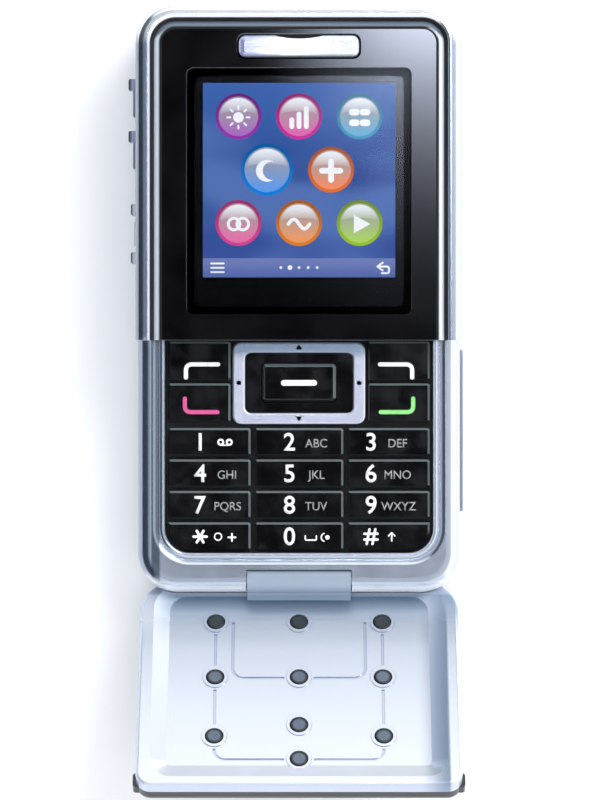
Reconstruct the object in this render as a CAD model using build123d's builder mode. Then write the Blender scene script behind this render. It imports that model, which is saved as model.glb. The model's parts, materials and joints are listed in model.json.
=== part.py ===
from build123d import *
import os
from math import cos, radians, sin

os.makedirs("parts", exist_ok=True)

# A mobile phone with a flip over its keypad. The flip hinges at the bottom end and is drawn open.
# Frame: origin in the middle of the flat back, +X to the right and +Y to the earpiece end as the
# user sees the screen, +Z out of the screen. Everything is in millimetres.

# ---------------------------------------------------------------- outside of the body
upper_length = 48.4  # display section, from the step to the earpiece end
lower_length = 36.4  # keypad section, from the step to the hinge end
upper_width = 47.0
side_step = 0.2  # rear housing and keypad frame, in from the display frame on each side
closed_thickness = 18.0  # back to display face, and to the closed flip's face
lower_thickness = 13.0  # back to the keypad frame's top
outline_r = 5.8
back_edge_r = 2.6
split_z = 9.0  # joint line between the rear housing and the two silver frames

body_length = upper_length + lower_length
top_y = body_length / 2
bottom_y = -top_y
seam_y = bottom_y + lower_length
lower_width = upper_width - 2 * side_step

# ---------------------------------------------------------------- clearances
fixed_fit = 0.05  # between pieces that don't move against each other
running_fit = 0.05  # radial, round the hinge shaft and the card door's pins
slide_fit = 0.1  # round the battery cover and the flip's plungers
key_fit = 0.15  # round every key and its stem
seam_gap = 0.5  # flip's free end to the step
air_gap = 0.2  # display glass to the lens
travel_spare = 0.1  # left under a key that is fully pressed

# ---------------------------------------------------------------- rear housing and what it holds
rear_wall = 1.4
rear_floor = 2.0
board_drop = 1.3  # board's underside below the joint line
board_thickness = 0.8
board_margin = 1.0  # board's edge to the housing's inner wall
board_corner_r = 1.0
shield_width = 12.0
shield_length = 9.0
shield_height = 0.25
shield_spots = ((-9.0, 30.4), (8.0, 22.4), (-8.0, 14.4))  # from the middle, and from the top end
bay_width = 36.0
bay_wall = 1.2
bay_ceiling = 1.1
bay_length = 40.3
battery_corner_r = 1.0
battery_edge = 0.3
cover_width = 39.2
cover_thickness = 1.2
cover_lap = 1.5  # cover beyond the battery bay's upper end
tongue_width = 0.6
lip_thickness = 0.6
cut_past = 1.0  # overshoot of a cut that runs out of the hinge end
contact_thickness = 0.6
contact_width = 1.6
contact_pitch = 3.4
contact_count = 3
contact_rise = 0.4
sim_thickness = 0.6
sim_width = 26.0
sim_length = 16.0
sim_window_width = 13.0
sim_window_length = 8.0
sim_corner = 2.0
grip_count = 5
grip_width = 12.0
grip_slot = 0.8
grip_pitch = 1.6
grip_depth = 0.3

board_z = split_z - board_drop
board_top = board_z + board_thickness
bay_top_z = board_z - bay_ceiling
recess_z = cover_thickness + fixed_fit

# ---------------------------------------------------------------- frames, deck and tray
upper_band = 2.1  # silver frame beside the display
lower_band = 3.9  # keypad frame beside the keys
hinge_band = 5.7  # keypad frame at the hinge end
frame_edge_r = 1.6
lower_edge_r = 2.1
inner_bevel = 0.3
deck_thickness = 1.2
deck_ledge = 0.8  # keypad frame's lap over the deck at the hinge end
tray_wall = 1.4
tray_corner_r = 0.8
keypad_corner_r = 3.6
bead_r = 0.33
flute_r = 1.2
flute_depth = 0.3
flute_past = 0.25  # flute's deepest line past the bead

deck_z = split_z
deck_top = deck_z + deck_thickness
deck_width = upper_width - 2 * upper_band - 2 * fixed_fit
deck_low_y = bottom_y + hinge_band - deck_ledge
deck_top_y = top_y - upper_band - fixed_fit
deck_corner_r = outline_r - upper_band - fixed_fit
keypad_width = lower_width - 2 * lower_band
keypad_low_y = bottom_y + hinge_band
bay_top_y = deck_low_y + bay_wall + bay_length
cover_top_y = bay_top_y + cover_lap

# ---------------------------------------------------------------- display
groove_width = 0.55  # dark groove between the silver frame and the bezel
bezel_recess = 0.1
bezel_thickness = 1.7
bezel_edge_r = 1.2
lens_width = 32.2
lens_low_gap = 3.7  # step to the lens
lens_top_gap = 9.4  # lens to the earpiece end
lens_corner_r = 1.0
lens_thickness = 0.8
lens_rim = 1.1
lens_edge = 0.15
screen_side_drop = 2.3  # visible picture in from the lens's edges
screen_top_drop = 2.1
screen_low_drop = 5.3
module_margin = 3.2
module_thickness = 3.2
module_corner_r = 0.6
glass_margin = 0.5
glass_corner_r = 0.4
rail_width = 1.5
slot_width = 17.8
slot_height = 3.7
slot_r = 1.15
slot_drop = 6.3  # top end to the earpiece slot's middle
bar_gap = 0.3
bar_low_bevel = 0.95  # sloping facet along the bar's lower side
bar_low_drop = 0.5
bar_edge_r = 0.25
bar_bow = 0.3  # bar's face sinks this much towards its middle
ear_notch_width = 6.9  # sound opening along the bar's upper side
ear_notch_depth = 0.45

bezel_top = closed_thickness - bezel_recess
bezel_z = bezel_top - bezel_thickness
bezel_width = upper_width - 2 * upper_band - 2 * groove_width
bezel_top_y = top_y - upper_band - groove_width
bezel_corner_r = outline_r - upper_band - groove_width
lens_low_y = seam_y + lens_low_gap
lens_top_y = top_y - lens_top_gap
lens_z = bezel_top - lens_thickness - fixed_fit
screen_top_y = lens_top_y - screen_top_drop
screen_low_y = lens_low_y + screen_low_drop
screen_width = lens_width - 2 * screen_side_drop
module_width = screen_width + 2 * module_margin
glass_top = lens_z - air_gap
module_top = bezel_z - fixed_fit
module_z = module_top - module_thickness
earpiece_y = top_y - slot_drop

# ---------------------------------------------------------------- keypad
key_travel = 0.35
key_sink = 0.2  # key tops below the keypad frame's top
key_height = 4.1
key_gap_y = 0.45
key_low_gap = 0.3
key_side_gap = 0.5
key_gap_x = 0.6
middle_key_width = 12.8
key_corner_r = 0.4
key_bevel = 0.3
stem_r = 1.0
function_gap = 0.75  # number keys to call and end keys
function_gap_y = 0.35
ring_gap = 0.3
film_thickness = 0.05
dome_r = 1.9
dome_height = 0.2
film_margin = 0.5
film_low_r = 2.0
film_high_r = 1.0

key_top = lower_thickness - key_sink
dome_top = board_top + film_thickness + dome_height
key_cap_z = deck_top + key_travel + travel_spare
key_stem_z = dome_top + key_travel + travel_spare
key_pitch_y = key_height + key_gap_y
side_key_width = (keypad_width - middle_key_width) / 2 - key_side_gap - key_gap_x
side_key_x = (middle_key_width + side_key_width) / 2 + key_gap_x
number_row_y = keypad_low_y + key_low_gap + key_height / 2  # row nearest the hinge
numbers_top_y = keypad_low_y + key_low_gap + 4 * key_pitch_y - key_gap_y
function_low_y = numbers_top_y + function_gap
function_high_y = seam_y - key_fit
function_height = (function_high_y - function_low_y - function_gap_y) / 2

# ---------------------------------------------------------------- navigation ring
ring_width = 19.2
ring_overlap = 0.2  # ring's lower edge past the call keys
ring_rim_x = 1.8
ring_rim_y = 1.65
ring_outer_r = 1.3
ring_inner_r = 0.9
ring_rise = 0.1  # above the key tops
ring_thickness = 1.45
plate_sink = 0.45
rocker_thickness = 0.4
rocker_gap = 0.3
foot_r = 0.7
foot_fit = 0.3
rocker_inset = 0.3
rocker_window_gap = 0.45
ring_edge_r = 0.3
ok_width = 10.7
ok_height = 5.5
ok_corner_r = 0.6
ok_bevel = 0.45

ring_top = key_top + ring_rise
ring_z = ring_top - ring_thickness
ring_high_y = function_high_y
ring_low_y = function_low_y - ring_overlap
ring_height = ring_high_y - ring_low_y
nav_y = (ring_high_y + ring_low_y) / 2
rocker_top = ring_z - rocker_gap
rocker_z = rocker_top - rocker_thickness
function_key_width = (keypad_width - ring_width) / 2 - key_side_gap - ring_gap
function_key_x = (ring_width + function_key_width) / 2 + ring_gap

# ---------------------------------------------------------------- flip and its hinge
hinge_inset_y = 1.8  # hinge axis from the body's end
hinge_inset_z = 1.7  # hinge axis below the keypad frame's top
open_angle = 140.7
shaft_r = 0.8
shaft_length = 22.0
shaft_edge = 0.2
knuckle_r = 2.0
knuckle_width = 15.0
neck_r = 3.6
neck_from = 60.0  # neck's sector about the axis, from the flip's plane
neck_sweep = 50.0
hinge_gap = 0.25
knuckle_side_gap = 0.15
flip_gap = 0.45  # closed flip's rim above the keypad frame
inner_cover_depth = 2.0
inner_cover_inset = 0.3  # flip's inner cover in from the keypad frame's sides
rim_edge_r = 0.5
lug_proud = 0.4  # finger lugs at the flip's free corners
lug_length = 2.4
lug_setback = 0.8
lug_thickness = 1.4
lug_corner_r = 0.5
free_corner_r = 2.2
outer_edge_r = 1.4
dish_side = 2.0
dish_free_end = 1.3
dish_low_u = -1.3  # dish's edge at the hinge end, from the hinge axis
dish_depth = 0.7
dish_slope = 73.0  # degrees from the flip's normal
dish_corner_r = 5.0
plunger_r = 1.25
plunger_edge_r = 0.2
plunger_cap_r = 2.0
plunger_cap_thickness = 0.95
plunger_cap_rise = 0.45
plunger_proud = 0.2  # tip above the dish floor
plunger_press = 1.45
boss_r = 1.75
boss_height = 0.15
track_width = 0.45
track_depth = 0.18
track_bend = 1.6
track_clear = 0.35  # groove's end to a boss
track_inset = 2.5  # inner grooves from the side rows
track_past = 0.1
plunger_inset = 0.95  # side plungers in from the middles of the number keys
plunger_low_drop = 0.65  # lowest plungers short of the middles of the keys that they press
plunger_ok_shift = 0.95
plunger_down_drop = 4.85  # plunger of the ring's lower band, from the ring's middle

hinge_y = bottom_y + hinge_inset_y
hinge_z = lower_thickness - hinge_inset_z
pocket_width = knuckle_width + 2 * knuckle_side_gap
rim_w = hinge_inset_z + flip_gap
split_w = rim_w + inner_cover_depth
outer_w = closed_thickness - hinge_z
floor_w = rim_w + dish_depth
tip_w = floor_w - plunger_proud
cap_w = outer_w + plunger_cap_rise - plunger_cap_thickness
cap_floor_w = cap_w - plunger_press - travel_spare
inner_cover_width = lower_width - 2 * inner_cover_inset
lug_width = inner_cover_width + 2 * lug_proud
plunger_side_x = side_key_x - plunger_inset
plunger_low_row = number_row_y - hinge_y - plunger_low_drop
plunger_middle_row = number_row_y + 2 * key_pitch_y - hinge_y
plunger_call_row = function_low_y + function_height / 2 - hinge_y
plunger_down_u = nav_y - hinge_y - plunger_down_drop
plunger_ok_u = nav_y - hinge_y + plunger_ok_shift
flip_low_u = -hinge_inset_y
flip_high_u = seam_y - seam_gap - hinge_y
lug_high_u = flip_high_u - lug_setback
middle_x = 0.0
plungers = {
    "plunger_star": (-plunger_side_x, plunger_low_row),
    "plunger_0": (middle_x, plunger_low_row),
    "plunger_hash": (plunger_side_x, plunger_low_row),
    "plunger_4": (-plunger_side_x, plunger_middle_row),
    "plunger_5": (middle_x, plunger_middle_row),
    "plunger_6": (plunger_side_x, plunger_middle_row),
    "plunger_end": (-plunger_side_x, plunger_call_row),
    "plunger_down": (middle_x, plunger_down_u),
    "plunger_call": (plunger_side_x, plunger_call_row),
    "plunger_ok": (middle_x, plunger_ok_u),
}

# ---------------------------------------------------------------- sides and back
side_z = 12.2  # middle height of the side keys and of the connector cover
side_height = 2.3
side_edge_r = 0.3
flange_lip = 0.5
flange_thickness = 0.35
flange_pocket = 0.75
side_key_proud = 0.5
nub_proud = 1.15
nub_length = 1.65
side_key_travel = 0.3
side_key_length = 5.5
key_up_drop = 13.4  # top end to the middle of each side piece
key_down_drop = 20.9
port_drop = 33.0
port_length = 8.6
port_proud = 0.1
port_nub_proud = 0.8
port_bump_proud = 0.3
port_bump_length = 3.4
port_edge_r = 0.25
connector_gap = 0.35  # inner end of the socket to the display module
connector_length = 6.4
connector_height = 2.0
connector_wall = 0.3
connector_corner_r = 0.4
connector_tongue = 4.6
door_length = 23.6
door_low_gap = 11.6  # body's hinge end to the card door's pivot
door_height = 4.0
door_z = 5.6
door_proud = 0.65
door_thickness = 1.05
door_end_r = 0.35
door_edge_r = 0.25
door_pivot_inset = 0.7
door_barrel_r = 0.9
door_pin_r = 0.4
door_pin_length = 0.6
door_fit = 0.15
card_block_depth = 1.5
card_slot_width = 12.0
card_slot_height = 0.9
camera_drop = 11.0  # top end to the camera's middle
camera_hole_r = 2.2
camera_window_r = 3.2
camera_window_depth = 0.8
camera_window_sink = 0.15
camera_barrel_r = 2.8
camera_box = 8.0
camera_barrel_height = 1.5
camera_aperture_r = 0.6
speaker_x = -12.0
speaker_drop = 19.0
speaker_r = 6.3
speaker_thickness = 3.0
speaker_hole_r = 0.5
speaker_hole_pitch = 1.9
speaker_rim = 1.0
speaker_recess = 0.75
speaker_edge = 0.6
motor_x = 13.0
motor_drop = 18.0
motor_r = 5.0
motor_thickness = 2.7
motor_edge_r = 0.5
microphone_x = 6.6
microphone_r = 1.4
microphone_height = 0.4
receiver_width = 13.0
receiver_height = 5.0
receiver_thickness = 2.6
receiver_edge = 0.3
pedestal_width = 6.5
antenna_width = 28.0
antenna_depth = 3.2
antenna_height = 4.5
antenna_wall = 0.8

# ---------------------------------------------------------------- screws
screw_inset = 5.4
top_screw_drop = 5.8
low_screw_rise = 3.0
screw_r = 0.6
screw_head_r = 1.4
screw_head_height = 0.9
screw_sink = 0.3
boss_wall = 1.3
cross_width = 0.35
cross_length = 1.8
cross_depth = 0.45
low_screw_length = 8.3
top_screw_length = 11.5

port_y = top_y - port_drop
connector_depth = (deck_width - module_width) / 2 - connector_gap
screw_x = lower_width / 2 - screw_inset
key_up_y = top_y - key_up_drop
key_down_y = top_y - key_down_drop
upper_side_x = -upper_width / 2
frame_inner_x = upper_side_x + upper_band
door_pivot_x = lower_width / 2 - door_pivot_inset
door_pivot_y = bottom_y + door_low_gap
door_outer_x = lower_width / 2 + door_proud
top_screw_y = top_y - top_screw_drop
low_screw_y = bottom_y + low_screw_rise
top_head_z = screw_sink
low_head_z = recess_z + screw_sink
ON_BASE = (Align.CENTER, Align.CENTER, Align.MIN)


def flat_plate(width, low, high, low_r=0.0, high_r=0.0):
    """Outline centred on X that runs from low to high in Y, with a corner radius for each end."""
    with BuildSketch() as flat:
        with Locations((0, (low + high) / 2)):
            Rectangle(width, high - low)
        if low_r:
            fillet(flat.vertices().group_by(Axis.Y)[0], low_r)
        if high_r:
            fillet(flat.vertices().group_by(Axis.Y)[-1], high_r)
    return flat.sketch


def save(part, label):
    """Names a finished piece and writes its STEP file."""
    part.label = label
    export_step(part, f"parts/{label}.step")


# ---------------------------------------------------------------- shared outlines and cutters
rear_flat = flat_plate(lower_width, bottom_y, top_y - side_step, outline_r, outline_r)
deck_flat = flat_plate(
    deck_width, deck_low_y, deck_top_y, deck_corner_r - deck_ledge, deck_corner_r
)

with BuildPart() as rear_block:
    with BuildSketch():
        add(rear_flat)
    extrude(amount=split_z)
    fillet(rear_block.edges().group_by(Axis.Z)[0], back_edge_r)

# Room for the knuckle all round, and for the neck from closed to open.
with BuildPart() as hinge_pocket:
    with BuildSketch(Plane.YZ.offset(-pocket_width / 2)):
        with Locations((hinge_y, hinge_z)):
            Circle(neck_r + hinge_gap)
            Rectangle(
                neck_r + hinge_gap,
                2 * (neck_r + hinge_gap),
                align=(Align.MAX, Align.CENTER),
                mode=Mode.INTERSECT,
            )
            Circle(knuckle_r + hinge_gap)
    extrude(amount=pocket_width)

number_keys = {
    "key_star": (-1, 0),
    "key_0": (0, 0),
    "key_hash": (1, 0),
    "key_7": (-1, 1),
    "key_8": (0, 1),
    "key_9": (1, 1),
    "key_4": (-1, 2),
    "key_5": (0, 2),
    "key_6": (1, 2),
    "key_1": (-1, 3),
    "key_2": (0, 3),
    "key_3": (1, 3),
}
function_keys = {
    "end_key": (-1, 0),
    "call_key": (1, 0),
    "soft_key_left": (-1, 1),
    "soft_key_right": (1, 1),
}


def number_key_place(column, row):
    """Middle of a number key, counted in columns from the middle and rows from the hinge end."""
    return (column * side_key_x, number_row_y + row * key_pitch_y)


def function_key_place(side, row):
    """Middle of a call, end or soft key beside the navigation ring."""
    return (
        side * function_key_x,
        function_low_y + function_height / 2 + row * (function_height + function_gap_y),
    )


key_places = [number_key_place(*spot) for spot in number_keys.values()]
key_places += [function_key_place(*spot) for spot in function_keys.values()]
key_places.append((0, nav_y))
rocker_band_x = ring_width / 2 - ring_rim_x / 2 - foot_r
rocker_band_y = ring_height / 2 - ring_rim_y / 2 - foot_r
foot_places = [
    (-rocker_band_x, nav_y),
    (rocker_band_x, nav_y),
    (0, nav_y - rocker_band_y),
    (0, nav_y + rocker_band_y),
]
screw_places = [
    (-screw_x, top_screw_y, top_head_z, top_screw_length),
    (screw_x, top_screw_y, top_head_z, top_screw_length),
    (-screw_x, low_screw_y, low_head_z, low_screw_length),
    (screw_x, low_screw_y, low_head_z, low_screw_length),
]
speaker_place = (speaker_x, top_y - speaker_drop)
motor_place = (motor_x, top_y - motor_drop)
camera_place = (0, top_y - camera_drop)
microphone_place = (microphone_x, number_key_place(0, 0)[1])

# ---------------------------------------------------------------- rear housing
inner_top_y = top_y - side_step - rear_wall
with BuildPart() as rear_housing:
    add(rear_block.part)
    with BuildSketch(Plane.XY.offset(rear_floor)):
        add(
            flat_plate(
                lower_width - 2 * rear_wall,
                deck_low_y,
                inner_top_y,
                outline_r - rear_wall,
                outline_r - rear_wall,
            )
        )
    extrude(amount=split_z - rear_floor, mode=Mode.SUBTRACT)
    # battery bay: walls and ceiling, then the bay itself, open at the back
    with BuildSketch(Plane.XY.offset(rear_floor)):
        add(flat_plate(bay_width + 2 * bay_wall, deck_low_y, bay_top_y + bay_wall))
    extrude(amount=board_z - rear_floor)
    with BuildSketch():
        add(flat_plate(bay_width, deck_low_y + bay_wall, bay_top_y))
    extrude(amount=bay_top_z, mode=Mode.SUBTRACT)
    # recess for the battery cover, with an undercut for its tongues, open at the hinge end
    with BuildSketch():
        add(flat_plate(cover_width + 2 * slide_fit, bottom_y - cut_past, cover_top_y + slide_fit))
    extrude(amount=recess_z, mode=Mode.SUBTRACT)
    with BuildSketch(Plane.XY.offset(lip_thickness)):
        add(
            flat_plate(
                cover_width + 2 * (tongue_width + slide_fit),
                bottom_y - cut_past,
                cover_top_y + slide_fit,
            )
        )
    extrude(amount=recess_z - lip_thickness, mode=Mode.SUBTRACT)
    # screw bosses under the board at the earpiece end
    with BuildSketch(Plane.XY.offset(rear_floor)):
        with Locations((-screw_x, top_screw_y), (screw_x, top_screw_y)):
            Circle(screw_r + boss_wall)
    extrude(amount=board_z - rear_floor)
    for x, y, head_z, _ in screw_places:
        with Locations((x, y, 0)):
            Cylinder(
                screw_head_r + fixed_fit,
                head_z + screw_head_height,
                align=ON_BASE,
                mode=Mode.SUBTRACT,
            )
            Cylinder(screw_r + fixed_fit, split_z, align=ON_BASE, mode=Mode.SUBTRACT)
    # camera hole with a seat for its window
    with Locations(camera_place):
        Cylinder(camera_hole_r, rear_floor, align=ON_BASE, mode=Mode.SUBTRACT)
        Cylinder(
            camera_window_r + fixed_fit,
            camera_window_sink + camera_window_depth,
            align=ON_BASE,
            mode=Mode.SUBTRACT,
        )
    # loudspeaker grille
    with Locations(speaker_place):
        Cylinder(speaker_hole_r, rear_floor, align=ON_BASE, mode=Mode.SUBTRACT)
        for ring in (1, 2):
            with PolarLocations(ring * speaker_hole_pitch, 6 * ring):
                Cylinder(speaker_hole_r, rear_floor, align=ON_BASE, mode=Mode.SUBTRACT)
    # card door: a block behind the wall, the door's pocket, its pin holes and the card slot
    block_x = lower_width / 2 - rear_wall
    door_swing_r = door_outer_x - door_pivot_x + door_fit
    pocket_low_y = door_pivot_y - door_swing_r
    pocket_high_y = door_pivot_y + door_length + door_fit
    block_low_y = pocket_low_y - rear_wall
    block_high_y = pocket_high_y + rear_wall
    pocket_depth = door_proud - door_thickness - door_fit
    with Locations((block_x, block_low_y, rear_floor)):
        Box(
            card_block_depth,
            block_high_y - block_low_y,
            board_z - rear_floor,
            align=(Align.MAX, Align.MIN, Align.MIN),
        )
    pocket_z = door_z - door_height / 2 - door_fit
    with Locations((lower_width / 2 + pocket_depth, pocket_low_y, pocket_z)):
        Box(
            door_thickness + door_fit,
            pocket_high_y - pocket_low_y,
            door_height + 2 * door_fit,
            align=Align.MIN,
            mode=Mode.SUBTRACT,
        )
    with Locations((door_pivot_x, door_pivot_y, pocket_z)):
        Cylinder(
            door_swing_r, door_height + 2 * door_fit, align=ON_BASE, mode=Mode.SUBTRACT
        )
    with Locations((door_pivot_x, door_pivot_y, door_z)):
        Cylinder(
            door_pin_r + running_fit,
            door_height + 2 * (door_pin_length + door_fit),
            mode=Mode.SUBTRACT,
        )
    with Locations((block_x, door_pivot_y + door_length / 2, door_z)):
        Box(
            2 * (card_block_depth + fixed_fit),
            card_slot_width,
            card_slot_height,
            mode=Mode.SUBTRACT,
        )
    add(hinge_pocket.part, mode=Mode.SUBTRACT)
save(rear_housing.part, "rear_housing")

# ---------------------------------------------------------------- battery cover
with BuildPart() as battery_cover:
    with BuildSketch():
        add(flat_plate(cover_width, bottom_y, cover_top_y))
    extrude(amount=cover_thickness)
    with BuildSketch(Plane.XY.offset(lip_thickness + fixed_fit)):
        add(flat_plate(cover_width + 2 * tongue_width, bottom_y, cover_top_y))
    extrude(amount=cover_thickness - lip_thickness - fixed_fit)
    with BuildSketch():
        with Locations((0, bottom_y + 2 * back_edge_r + grip_count * grip_pitch / 2)):
            with GridLocations(0, grip_pitch, 1, grip_count):
                SlotOverall(grip_width, grip_slot)
    extrude(amount=grip_depth, mode=Mode.SUBTRACT)
    add(rear_block.part, mode=Mode.INTERSECT)
save(battery_cover.part, "battery_cover")

# ---------------------------------------------------------------- battery and what is round it
battery_top = bay_top_z - sim_thickness - slide_fit
with BuildPart() as battery:
    with BuildSketch(Plane.XY.offset(cover_thickness + slide_fit)):
        add(
            flat_plate(
                bay_width - 2 * slide_fit,
                deck_low_y + bay_wall + slide_fit,
                bay_top_y - contact_thickness - fixed_fit,
                battery_corner_r,
                battery_corner_r,
            )
        )
    extrude(amount=battery_top - cover_thickness - slide_fit)
    chamfer(battery.edges().filter_by(Axis.X), battery_edge)
save(battery.part, "battery")

contact_low = cover_thickness + contact_rise
with BuildPart() as battery_contacts:
    with Locations((0, bay_top_y - contact_thickness / 2, contact_low)):
        with GridLocations(contact_pitch, 0, contact_count, 1):
            Box(contact_width, contact_thickness, battery_top - contact_low, align=ON_BASE)
save(battery_contacts.part, "battery_contacts")

sim_y = (deck_low_y + bay_top_y) / 2
with BuildPart() as sim_holder:
    with Locations((0, sim_y, bay_top_z - sim_thickness)):
        Box(sim_width, sim_length, sim_thickness, align=ON_BASE)
        Box(
            sim_window_width,
            sim_window_length,
            sim_thickness,
            align=ON_BASE,
            mode=Mode.SUBTRACT,
        )
    chamfer(sim_holder.edges().filter_by(Axis.Z).sort_by(Axis.X)[-1:], sim_corner)
save(sim_holder.part, "sim_holder")

# ---------------------------------------------------------------- board, domes and small parts
board_width = lower_width - 2 * (rear_wall + board_margin)
with BuildPart() as main_board:
    with BuildSketch(Plane.XY.offset(board_z)):
        add(
            flat_plate(
                board_width,
                deck_low_y + board_margin,
                inner_top_y - board_margin,
                board_corner_r,
                outline_r - rear_wall - board_margin,
            )
        )
    extrude(amount=board_thickness)
    # shielded circuits on the display side
    with Locations(*[(x, top_y - drop, board_top) for x, drop in shield_spots]):
        Box(shield_width, shield_length, shield_height, align=ON_BASE)
    with Locations((-screw_x, top_screw_y, board_z), (screw_x, top_screw_y, board_z)):
        Cylinder(
            screw_r + slide_fit, board_thickness, align=ON_BASE, mode=Mode.SUBTRACT
        )
save(main_board.part, "main_board")

with BuildPart() as dome_sheet:
    with BuildSketch(Plane.XY.offset(board_top)):
        add(
            flat_plate(
                keypad_width - 2 * film_margin,
                keypad_low_y,
                seam_y - 2 * film_margin,
                film_low_r,
                film_high_r,
            )
        )
        with Locations(microphone_place):
            Circle(microphone_r + key_fit, mode=Mode.SUBTRACT)
    extrude(amount=film_thickness)
    with BuildSketch(Plane.XY.offset(board_top + film_thickness)):
        with Locations(*key_places):
            Circle(dome_r)
        with Locations(*foot_places):
            Circle(foot_r)
    extrude(amount=dome_height)
save(dome_sheet.part, "dome_sheet")

with BuildPart() as microphone:
    with Locations((*microphone_place, board_top)):
        Cylinder(microphone_r, microphone_height, align=ON_BASE)
save(microphone.part, "microphone")

with BuildPart() as camera_window:
    with Locations((*camera_place, camera_window_sink)):
        Cylinder(camera_window_r, camera_window_depth, align=ON_BASE)
    chamfer(camera_window.edges().group_by(Axis.Z)[0], camera_window_sink)
save(camera_window.part, "camera_window")

with BuildPart() as camera_module:
    with Locations((*camera_place, rear_floor + fixed_fit)):
        Cylinder(camera_barrel_r, camera_barrel_height, align=ON_BASE)
    barrel_top = rear_floor + fixed_fit + camera_barrel_height
    with Locations((*camera_place, barrel_top)):
        Box(camera_box, camera_box, board_z - barrel_top, align=ON_BASE)
    with Locations((*camera_place, 0)):
        Cone(
            camera_barrel_r,
            camera_aperture_r,
            barrel_top,
            align=ON_BASE,
            mode=Mode.SUBTRACT,
        )
save(camera_module.part, "camera_module")

with BuildPart() as loudspeaker:
    with Locations((*speaker_place, rear_floor + fixed_fit)):
        Cylinder(speaker_r, speaker_thickness, align=ON_BASE)
        Cylinder(
            speaker_r - speaker_rim, speaker_recess, align=ON_BASE, mode=Mode.SUBTRACT
        )
    chamfer(loudspeaker.edges().group_by(Axis.Z)[-1], speaker_edge)
save(loudspeaker.part, "loudspeaker")

with BuildPart() as vibration_motor:
    with Locations((*motor_place, rear_floor + fixed_fit)):
        Cylinder(motor_r, motor_thickness, align=ON_BASE)
    fillet(vibration_motor.edges().group_by(Axis.Z)[-1], motor_edge_r)
save(vibration_motor.part, "vibration_motor")

antenna_y = inner_top_y - fixed_fit
with BuildPart() as antenna:
    with Locations((0, antenna_y, rear_floor + fixed_fit)):
        Box(
            antenna_width,
            antenna_depth,
            antenna_height,
            align=(Align.CENTER, Align.MAX, Align.MIN),
        )
    with Locations((0, antenna_y - antenna_wall, rear_floor + fixed_fit)):
        Box(
            antenna_width - 2 * antenna_wall,
            antenna_depth - antenna_wall,
            antenna_height - antenna_wall,
            align=(Align.CENTER, Align.MAX, Align.MIN),
            mode=Mode.SUBTRACT,
        )
save(antenna.part, "antenna")

# ---------------------------------------------------------------- front housing: deck and tray
module_low_y = screen_low_y - module_margin
module_high_y = screen_top_y + lens_rim
window_place = (frame_inner_x, port_y, side_z)
pedestal_top = module_top - receiver_thickness
with BuildPart() as front_housing:
    with BuildSketch(Plane.XY.offset(deck_z)):
        add(deck_flat)
    extrude(amount=deck_thickness)
    with BuildSketch(Plane.XY.offset(deck_top)):
        add(flat_plate(deck_width, seam_y, deck_top_y, 0, deck_corner_r))
        add(
            flat_plate(
                deck_width - 2 * tray_wall,
                seam_y + tray_wall,
                deck_top_y - tray_wall,
                tray_corner_r,
                deck_corner_r - tray_wall,
            ),
            mode=Mode.SUBTRACT,
        )
    extrude(amount=bezel_z - deck_top)
    # two rails under the display module and a pedestal under the earpiece
    with Locations((0, (module_low_y + module_high_y) / 2, deck_top)):
        with GridLocations(module_width - 2 * rail_width, 0, 2, 1):
            Box(
                rail_width,
                module_high_y - module_low_y,
                module_z - deck_top,
                align=ON_BASE,
            )
    with Locations((0, earpiece_y, deck_top)):
        Box(pedestal_width, receiver_height, pedestal_top - deck_top, align=ON_BASE)
    # screw bosses at the earpiece end reach down to the board
    with BuildSketch(Plane.XY.offset(board_top)):
        with Locations((-screw_x, top_screw_y), (screw_x, top_screw_y)):
            Circle(screw_r + boss_wall)
    extrude(amount=module_z - board_top)
    with Locations((-screw_x, top_screw_y, board_top), (screw_x, top_screw_y, board_top)):
        Cylinder(
            screw_r,
            top_head_z + screw_head_height + top_screw_length - board_top,
            align=ON_BASE,
            mode=Mode.SUBTRACT,
        )
    with Locations(*[(x, y, deck_top) for x, y in key_places]):
        Hole(stem_r + key_fit)
    with Locations(*[(x, y, deck_top) for x, y in foot_places]):
        Hole(foot_r + foot_fit)
    # window for the socket in the left wall
    with Locations(window_place):
        Box(
            4 * tray_wall,
            connector_length + 2 * fixed_fit,
            connector_height + 2 * fixed_fit,
            mode=Mode.SUBTRACT,
        )
save(front_housing.part, "front_housing")

with BuildPart() as io_connector:
    socket_x = -deck_width / 2 + fixed_fit
    with Locations((socket_x, port_y, side_z)):
        Box(
            connector_depth,
            connector_length,
            connector_height,
            align=(Align.MIN, Align.CENTER, Align.CENTER),
        )
    fillet(io_connector.edges().filter_by(Axis.X), connector_corner_r)
    with Locations((socket_x, port_y, side_z)):
        Box(
            connector_depth - connector_wall,
            connector_length - 2 * connector_wall,
            connector_height - 2 * connector_wall,
            align=(Align.MIN, Align.CENTER, Align.CENTER),
            mode=Mode.SUBTRACT,
        )
        Box(
            connector_depth,
            connector_tongue,
            connector_wall,
            align=(Align.MIN, Align.CENTER, Align.CENTER),
        )
save(io_connector.part, "io_connector")

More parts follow.
